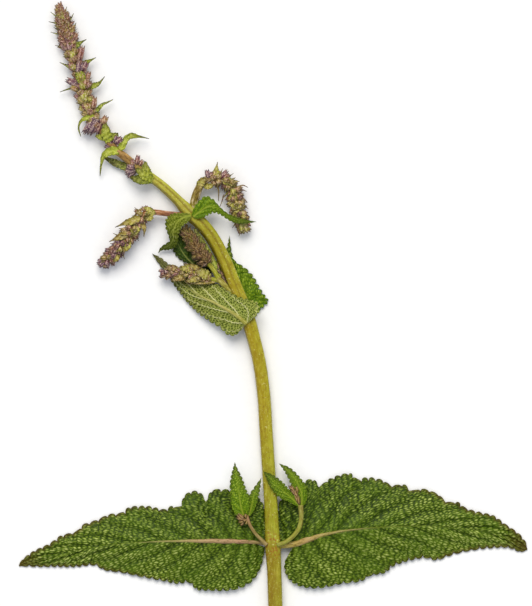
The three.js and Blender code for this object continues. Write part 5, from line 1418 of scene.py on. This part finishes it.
# %% Its scales and bracts
right_scales = ring_places(
    right_course, ring_shares(0.4, 13, 0.97), around=[3, 4, 4, 4], length=3.4, radius=1.15,
    sizes=[0.9, 1.1, 1.1, 0.9], opening=[1.1, 1.0, 0.9, 0.6], ripe=[0.2, 0.1, 0.15, 0.2], spread=0.5, seed=42)
copied_piece("side_spike_right", "scales", bract_shape, right_scales, straw_bract, 8)
bract_piece("side_spike_right", straw_bract, [
    ([[-26.4, 46.8, 4.8], [-24.9, 49.4, 5.4], [-23.2, 50.2, 4.8]], [0.8, 1.5, 1.3, 0.4], 0.0, 0.3),
    ([[-24.4, 47.6, 4.4], [-22.4, 47.6, 4.6], [-20.8, 48.6, 4.2]], [0.8, 1.2, 0.9, 0.3], 0.05, 0.3),
    ([[-20.0, 50.6, 4.6], [-20.0, 53.4, 4.8], [-19.6, 56.1, 3.8]], [0.9, 1.2, 0.9, 0.3, 0.1], 0.05, 0.15),
    ([[-17.6, 49.4, 4.8], [-14.9, 49.0, 5.4], [-12.9, 47.4, 4.4]], [1.0, 1.6, 1.2, 0.3], -0.05, 0.25),
    ([[-19.6, 48.6, 3.6], [-19.2, 45.6, 2.8], [-19.3, 42.4, 1.4]], [0.5, 0.25, 0.18, 0.1], 0.6, 0.0),
    ([[-17.4, 44.6, 3.0], [-18.0, 42.4, 2.4], [-18.8, 40.4, 1.6]], [0.3, 0.2, 0.1], 0.85, 0.0),
    ([[-13.0, 47.0, 3.6], [-10.6, 47.9, 3.4], [-8.9, 47.2, 2.8]], [0.6, 0.3, 0.2, 0.08], 0.8, 0.0),
    ([[-13.2, 46.0, 3.6], [-11.2, 46.4, 3.4], [-9.4, 45.8, 3.0]], [0.5, 0.3, 0.2, 0.08], 0.8, 0.0),
    ([[-12.0, 43.6, 3.4], [-10.4, 43.2, 3.0], [-9.2, 42.0, 2.6]], [0.6, 0.3, 0.2, 0.08], 0.8, 0.0),
    ([[-12.0, 41.6, 3.4], [-10.2, 40.6, 3.0], [-8.8, 39.7, 2.6]], [0.6, 0.3, 0.2, 0.08], 0.8, 0.0),
    ([[-11.6, 39.0, 3.2], [-10.0, 37.8, 3.0], [-8.3, 36.9, 2.4]], [0.7, 0.35, 0.22, 0.08], 0.8, 0.0),
    ([[-14.4, 45.6, 4.4], [-13.8, 43.6, 5.2], [-13.4, 41.8, 4.8]], [0.9, 1.4, 1.2, 0.3], 0.05, 0.15),
    ([[-14.2, 42.4, 4.4], [-13.6, 40.6, 5.1], [-13.0, 38.8, 4.6]], [0.9, 1.5, 1.3, 0.3], 0.1, 0.15),
    ([[-13.0, 39.4, 4.2], [-12.6, 37.6, 4.9], [-12.2, 36.0, 4.4]], [0.9, 1.4, 1.2, 0.3], 0.1, 0.15),
])

# %% [markdown]
# A shoot leaves the middle node and forks into two short spikes that lie in the shade of the stem. The
# upper one is a tight brown head of tiny buds, the lower one a row of green bracts with calyces between
# them. Both keep above the leaf that lies under them, which is why their rings get a lowest height.

# %% The forked stalk
FORK = [[-9.6, 0.8, 5], [-11.9, 5.6, 4.9], [-14.2, 9.5, 4.8], [-16.7, 12.2, 4.7], [-19.4, 15.1, 4.6]]
UPPER_HEAD = [[-18.9, 14.5, 4.6], [-21.4, 18.6, 4.9], [-24.4, 22.2, 5], [-26.9, 25.9, 4.6], [-29.2, 29.1, 4],
              [-31, 31.8, 3.6]]
LOWER_HEAD = [[-19.2, 14.4, 4.2], [-22.2, 14.8, 4.2], [-24.9, 15.6, 4.3], [-27.2, 16.9, 4.4],
              [-30.8, 17.1, 4.2], [-34.6, 17, 3.9], [-38.4, 16.8, 3.6]]
fork_stalk = stalk_material(
    "olive fork stalk", [(0.0, "#989a24"), (0.5, "#a09c2c"), (1.0, "#94883c")], "#cfc878", "#6c5c14")
stalk_piece("inner_spike_upper", "fork", fork_stalk, FORK, [1.1, 1.0, 1.0, 1.1], 40)
stalk_piece("inner_spike_upper", "axis", fork_stalk, UPPER_HEAD, [0.9, 0.8, 0.7], 50)
stalk_piece("inner_spike_lower", "axis", fork_stalk, LOWER_HEAD, [0.9, 0.8, 0.6], 50)

# %% The brown head of the upper spike
upper_course = course_of(UPPER_HEAD)
upper_buds = ring_places(
    upper_course, np.linspace(0.34, 0.98, 11), around=[8, 10, 10, 9, 7], length=3.3, radius=0.66,
    sizes=[0.9, 1.1, 1.15, 1, 0.8], opening=[1.2, 1.1, 1.0, 0.85, 0.6], ripe=[0.75, 0.65, 0.55, 0.5, 0.5],
    spread=0.9, seed=51, lowest=1.8)
upper_buds += from_to([
    ([-16.4, 13.0, 4.4], [-17.4, 14.8, 4.8], 0.5, 1.0), ([-16.9, 14.4, 4.5], [-18.2, 16.2, 4.9], 0.55, 1.1),
    ([-17.6, 15.8, 4.6], [-18.6, 17.8, 5.0], 0.55, 0.9), ([-18.4, 16.6, 4.6], [-19.8, 18.6, 5.0], 0.6, 1.1),
    ([-18.9, 18.2, 4.7], [-19.8, 20.6, 5.0], 0.5, 0.85),
])
copied_piece("inner_spike_upper", "buds", bud_shape, upper_buds, shaded_bud, 9)
upper_calyces = ring_places(
    upper_course, np.linspace(0.38, 0.9, 7), around=[5, 6, 6, 5], length=3.3, radius=0.85,
    sizes=[0.9, 1, 1, 0.8], opening=[0.95, 0.85, 0.75, 0.6], ripe=[0.8, 0.7, 0.6, 0.55], spread=0.5,
    seed=53, lowest=1.8)
copied_piece("inner_spike_upper", "calyces", calyx_shape, upper_calyces, shaded_bud, 19)

# %% The scales and long bracts of the upper spike
upper_scales = ring_places(
    upper_course, np.linspace(0.32, 0.98, 11), around=[4, 5, 5, 4], length=3.4, radius=0.6,
    sizes=[1, 1.1, 1, 0.7], opening=[1.1, 1.0, 0.85, 0.5], ripe=[0.7, 0.6, 0.6, 0.6], spread=0.5,
    seed=52, lowest=1.8)
copied_piece("inner_spike_upper", "scales", bract_shape, upper_scales, straw_bract, 10)
bract_piece("inner_spike_upper", leafy_bract, [
    ([[-12.0, 6.2, 3.0], [-15.4, 11.6, 3.2], [-18.6, 16.6, 3.4], [-20.8, 21.0, 3.4]],
     [0.8, 1.8, 2.4, 1.8], 0.55, 0.1),
    ([[-18.4, 15.6, 4.6], [-20.8, 20.6, 5.0], [-24.0, 26.4, 5.2], [-27.8, 32.6, 4.9]],
     [0.5, 0.9, 1.0, 1.0, 0.5], 0.3, 0.1),
])

# %% The green lower spike
lower_calyces = ring_places(
    course_of(LOWER_HEAD), np.linspace(0.14, 0.98, 11), around=[6, 7, 7, 7], length=2.6, radius=0.7,
    sizes=[0.9, 1, 1, 0.9], opening=[1.0, 0.9, 0.8, 0.6], ripe=[0.35, 0.4, 0.55, 0.8], spread=0.5,
    seed=61, lowest=1.9)
copied_piece("inner_spike_lower", "calyces", calyx_shape, lower_calyces, calyx_skin, 11)
bract_piece("inner_spike_lower", straw_bract, [
    ([[-22.4, 15.2, 5.0], [-24.6, 16.8, 6.2], [-27.4, 17.6, 5.8]], [1.0, 2.0, 1.6, 0.4], 0.05, 0.25),
    ([[-20.6, 13.8, 4.8], [-25.4, 13.4, 5.4], [-30.4, 13.2, 4.6]], [0.4, 0.5, 0.4, 0.1], 0.2, 0.05),
    ([[-25.6, 15.0, 5.2], [-28.2, 14.8, 6.0], [-31.0, 13.8, 5.0]], [0.9, 1.4, 1.0, 0.2], 0.3, 0.25),
    ([[-24.8, 17.7, 4.8], [-28.4, 19.3, 5.0], [-31.6, 20.2, 4.2]], [0.8, 1.1, 0.7, 0.2], 0.25, 0.2),
    ([[-28.4, 17.8, 5.2], [-31.0, 18.6, 6.0], [-33.6, 18.2, 5.2]], [0.9, 1.5, 1.0, 0.2], 0.1, 0.25),
    ([[-31.0, 15.4, 5.0], [-33.4, 15.2, 5.8], [-36.0, 14.2, 4.6]], [0.9, 1.3, 0.9, 0.1], 0.35, 0.2),
    ([[-33.4, 18.2, 5.0], [-35.8, 18.8, 5.4], [-38.6, 18.2, 4.2]], [0.8, 1.3, 0.8, 0.1], 0.45, 0.15),
    ([[-35.0, 16.4, 4.8], [-37.4, 16.2, 5.2], [-39.8, 15.4, 4.2]], [0.7, 1.0, 0.6, 0.1], 0.75, 0.1),
])

# %% [markdown]
# In the axil of each lower leaf stands a short shoot: a stalk, two small bright leaves and a knot of
# buds. The blades are the same puckered sheets on a smaller scale, and the buds are copies placed one by
# one, because so few need no rule.

# %% The shoot in the left axil
left_shoot = Shells()
leaf_shell(
    left_shoot, [[-10.4, -68.4, 4.9], [-11.4, -64.9, 5.2], [-12, -60.3, 5.1], [-12.8, -55, 4.5],
                 [-13.5, -49.7, 3.6]],
    left=[[-10.6, -69, 5.2], [-13, -68.4, 5], [-14.8, -65.2, 4.6], [-15.3, -61.3, 4.4], [-15.2, -56.1, 4.1],
          [-14.4, -52.5, 3.9], [-13.5, -49.7, 3.6]],
    right=[[-9.4, -68.8, 5.2], [-8.4, -66.6, 5.7], [-8.4, -61.7, 5.5], [-9.3, -59.4, 5.2], [-11, -54.8, 4.4],
           [-12.4, -52.2, 3.9], [-13.5, -49.7, 3.6]],
    teeth=13, tooth=[0.3, 0.6, 0.6, 0.4], columns=190, rows=30, cell=0.5, height=0.22, veins=6,
    furrow=0.15, quilt=0.1, rib_width=0.3, dark_from=0.88, seed=12)
leaf_shell(
    left_shoot, [[-8.6, -68.6, 4.5], [-7.6, -65.3, 4.4], [-6.8, -61.4, 4.3], [-5.6, -58.4, 3.9],
                 [-4.1, -55.2, 3.4]],
    left=[[-9.4, -68.4, 4.4], [-9.3, -64.9, 4.1], [-8.3, -61, 3.9], [-6.5, -58.2, 3.6], [-4.1, -55.2, 3.4]],
    right=[[-8, -68.6, 4.6], [-6.3, -66, 4.9], [-5.1, -62.4, 4.8], [-4.5, -59.4, 4.2], [-4.1, -55.2, 3.4]],
    teeth=9, tooth=[0.2, 0.5, 0.5, 0.3], columns=150, rows=24, cell=0.5, height=0.2, veins=5, furrow=0.15,
    quilt=0.1, rib_width=0.3, dark_from=0.85, seed=13)
left_shoot.make("axil_shoot_left_leaves", young_leaf, "axil_shoot_left")
pinkish_stalk = stalk_material(
    "pinkish shoot stalk", [(0.0, "#94804a"), (0.5, "#8a7a40"), (1.0, "#9a7050")], "#b8a078", "#6a5428", 0.5)
stalk_piece("axil_shoot_left", "stalk", pinkish_stalk,
            [[-2.2, -78.9, 5.4], [-5, -76.2, 5.3], [-6.9, -74, 5.1], [-8.4, -71.3, 5], [-9.3, -68.6, 4.9]],
            [0.75, 0.6, 0.55, 0.65])
left_knot = from_to([
    ([-9.6, -70.2, 4.9], [-13.2, -69.2, 5.3], 0.75, 0.5),
    ([-9.8, -70.4, 4.9], [-12.4, -71.0, 5.0], 0.65, 0.45),
    ([-10.2, -69.8, 5.2], [-12.4, -67.7, 5.7], 0.7, 0.4),
    ([-9.5, -70.0, 5.3], [-10.8, -70.4, 6.5], 0.65, 0.4),
    ([-9.1, -70.2, 5.0], [-9.7, -71.8, 5.6], 0.55, 0.4),
    ([-9.6, -69.4, 5.3], [-9.8, -67.7, 6.1], 0.65, 0.35),
    ([-10.8, -70.0, 5.3], [-13.0, -68.2, 5.0], 0.6, 0.6),
    ([-10.2, -70.8, 4.8], [-11.6, -72.2, 4.6], 0.55, 0.45),
])
copied_piece("axil_shoot_left", "buds", bud_shape, left_knot, shaded_bud, 12)

# %% The shoot in the right axil
right_shoot = Shells()
leaf_shell(
    right_shoot, [[10, -65.2, 5.3], [10.1, -61, 5.6], [8.8, -57.5, 5.5], [6.7, -54.1, 5.2], [4.5, -52.1, 4.9],
                  [2, -50.1, 4.6]],
    left=[[9.2, -65, 5.4], [8.2, -61.6, 5.9], [6.4, -58.2, 6], [4.8, -54.6, 5.6], [3.4, -52.2, 5.1],
          [2, -50.1, 4.6]],
    right=[[10.6, -65.4, 5.2], [12, -62.6, 4.9], [11.9, -58.8, 4.6], [9.6, -55, 4.5], [6, -51.6, 4.4],
           [2, -50.1, 4.6]],
    teeth=12, tooth=[0.2, 0.6, 0.6, 0.3], columns=180, rows=26, cell=0.5, height=0.2, veins=5,
    furrow=0.15, quilt=0.1, rib_width=0.3, dark_from=0.82, seed=14)
leaf_shell(
    right_shoot, [[9.4, -65, 5.7], [6.4, -62.1, 6.2], [3.3, -59.5, 6.3], [0.3, -56.6, 6], [-3.5, -52.9, 5.6]],
    left=[[8.6, -65.3, 5.7], [5.4, -63.7, 5.9], [1.7, -61.9, 5.8], [-0.9, -58.9, 5.7], [-3.5, -52.9, 5.6]],
    right=[[9.8, -64.2, 5.9], [6.6, -60.3, 6.8], [3.6, -56.7, 6.7], [-0.1, -54, 6.2], [-3.5, -52.9, 5.6]],
    teeth=12, tooth=[0.2, 0.6, 0.6, 0.3], columns=180, rows=26, cell=0.5, height=0.2, veins=5,
    furrow=0.15, quilt=0.1, rib_width=0.3, dark_from=0.88, seed=15)
right_shoot.make("axil_shoot_right_leaves", young_leaf, "axil_shoot_right")
green_stalk = stalk_material(
    "green shoot stalk", [(0.0, "#8a8c30"), (0.5, "#8f9230"), (1.0, "#8a843a")], "#b8b46c", "#7a6030", 0.4)
stalk_piece("axil_shoot_right", "stalk", green_stalk,
            [[1.4, -78.9, 5.6], [4.4, -77.8, 5.6], [7.2, -75.6, 5.6], [9.2, -72.8, 5.5], [9.9, -69.4, 5.4],
             [9.7, -64.8, 5.5]], [0.8, 0.75, 0.78, 0.8, 0.95])
right_knot = from_to([
    ([9.2, -64.6, 6.0], [8.6, -61.0, 6.6], 0.7, 0.4), ([9.0, -64.0, 5.8], [7.2, -60.6, 6.4], 0.7, 0.5),
    ([8.6, -62.2, 6.1], [7.2, -59.0, 6.6], 0.75, 0.45), ([8.2, -61.6, 6.0], [6.0, -59.2, 6.2], 0.65, 0.6),
    ([7.6, -60.6, 6.1], [6.2, -57.6, 6.4], 0.7, 0.5), ([7.4, -60.0, 6.0], [5.3, -57.8, 6.1], 0.6, 0.7),
    ([8.6, -60.4, 6.2], [8.2, -58.0, 6.4], 0.6, 0.4),
])
copied_piece("axil_shoot_right", "buds", bud_shape, right_knot, shaded_bud, 13)

# %% [markdown]
# The whole stem is downy. The hairs are far too many to place by hand, so geometry nodes scatter them
# over the stem's skin: thin three-sided cones that stand out from the surface and lean a little, each
# with its own length. They are sparse, as the photograph only shows them as a pale fringe. A hair system
# would comb better, but it isn't a mesh, and only meshes are exported.

# %% A tree that grows hairs on a surface
def hair_tree():
    """Scatters thin cones over a surface and keeps only the cones."""
    tree, given = new_tree("down", [
        ("Skin", "Geometry"), ("Density", "Float"), ("Length", "Float"), ("Thickness", "Float"),
        ("Lean", "Float"), ("Seed", "Int"), ("Finish", "Material")], "Down")
    place = add_node(tree, "GeometryNodeInputPosition").outputs[0]
    height = add_node(tree, "ShaderNodeSeparateXYZ", {0: place}).outputs["Z"]
    high_enough = add_node(tree, "FunctionNodeCompare", {0: height, 1: 1.0 * MM})
    places = add_node(tree, "GeometryNodeDistributePointsOnFaces", {
        "Mesh": given["Skin"], "Density": given["Density"], "Seed": given["Seed"]})
    cone = add_node(tree, "GeometryNodeMeshCone", {
        "Vertices": 3, "Radius Top": 0.0, "Radius Bottom": given["Thickness"], "Depth": given["Length"]})
    less = add_node(tree, "ShaderNodeMath", {"operation": "MULTIPLY", 0: given["Lean"], 1: -1.0}).outputs[0]
    low = add_node(tree, "ShaderNodeCombineXYZ", {"X": less, "Y": less, "Z": less})
    more = given["Lean"]
    high = add_node(tree, "ShaderNodeCombineXYZ", {"X": more, "Y": more, "Z": more})
    lean = add_node(tree, "FunctionNodeRandomValue", {
        "data_type": "FLOAT_VECTOR", 0: low.outputs[0], 1: high.outputs[0], "Seed": given["Seed"]})
    turned = add_node(tree, "FunctionNodeRotateRotation", {
        "rotation_space": "LOCAL", 0: places.outputs["Rotation"], 1: lean.outputs[0]})
    size = add_node(tree, "FunctionNodeRandomValue", {
        "data_type": "FLOAT", 2: 0.5, 3: 1.0, "Seed": given["Seed"]})
    hairs = add_node(tree, "GeometryNodeInstanceOnPoints", {
        "Points": places.outputs["Points"], "Selection": high_enough.outputs[0],
        "Instance": cone.outputs["Mesh"], "Rotation": turned.outputs[0], "Scale": size.outputs[1]})
    plain = add_node(tree, "GeometryNodeRealizeInstances", {0: hairs.outputs[0]})
    finished = add_node(tree, "GeometryNodeSetMaterial", {
        "Geometry": plain.outputs[0], "Material": given["Finish"]})
    add_node(tree, "NodeGroupOutput", {0: finished.outputs[0]})
    return tree


def hair_material(name):
    """Gives the eye pale silky down, a little greener at random."""
    material, output = new_material(name)
    tree = material.node_tree
    place = add_node(tree, "ShaderNodeTexCoord").outputs["Object"]
    patches = add_node(tree, "ShaderNodeTexNoise", {"Scale": 1 / (3 * MM), "Vector": place}).outputs["Fac"]
    tone = add_node(tree, "ShaderNodeValToRGB", {
        "Fac": patches, "stops": [(0.35, "#b9b46c"), (0.65, "#ded8a8")]}).outputs["Color"]
    shader = add_node(tree, "ShaderNodeBsdfPrincipled", {"Roughness": 0.35, "Base Color": tone})
    tree.links.new(shader.outputs[0], output.inputs["Surface"])
    return material


down_on_skin = hair_tree()
silky_down = hair_material("silky down")
print("nodes in the tree of hairs:", len(down_on_skin.nodes))

# %% The stem's down
hair_sizes = {"Density": 1.0 / MM**2, "Length": 0.6 * MM, "Thickness": 0.03 * MM, "Lean": 0.5, "Seed": 1}
down = bake(stem.data.copy(), down_on_skin, {**hair_sizes, "Finish": silky_down})
finish_piece("stem_down", down, silky_down, "main_stem")

# %% [markdown]
# The stand-ins that were copied go now, because everything that stays in the scene has to belong to the
# plant. Then the finished model is measured against the solid one.

# %% Clear away the patterns and finish
for helper in pattern_shapes:
    bpy.data.objects.remove(helper)
size = {"cad": [list(corner) for corner in cad_box], "visual": [list(corner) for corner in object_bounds()]}
for label, box in size.items():
    print(label, "model, mm:", [[round(value / MM, 1) for value in corner] for corner in box])
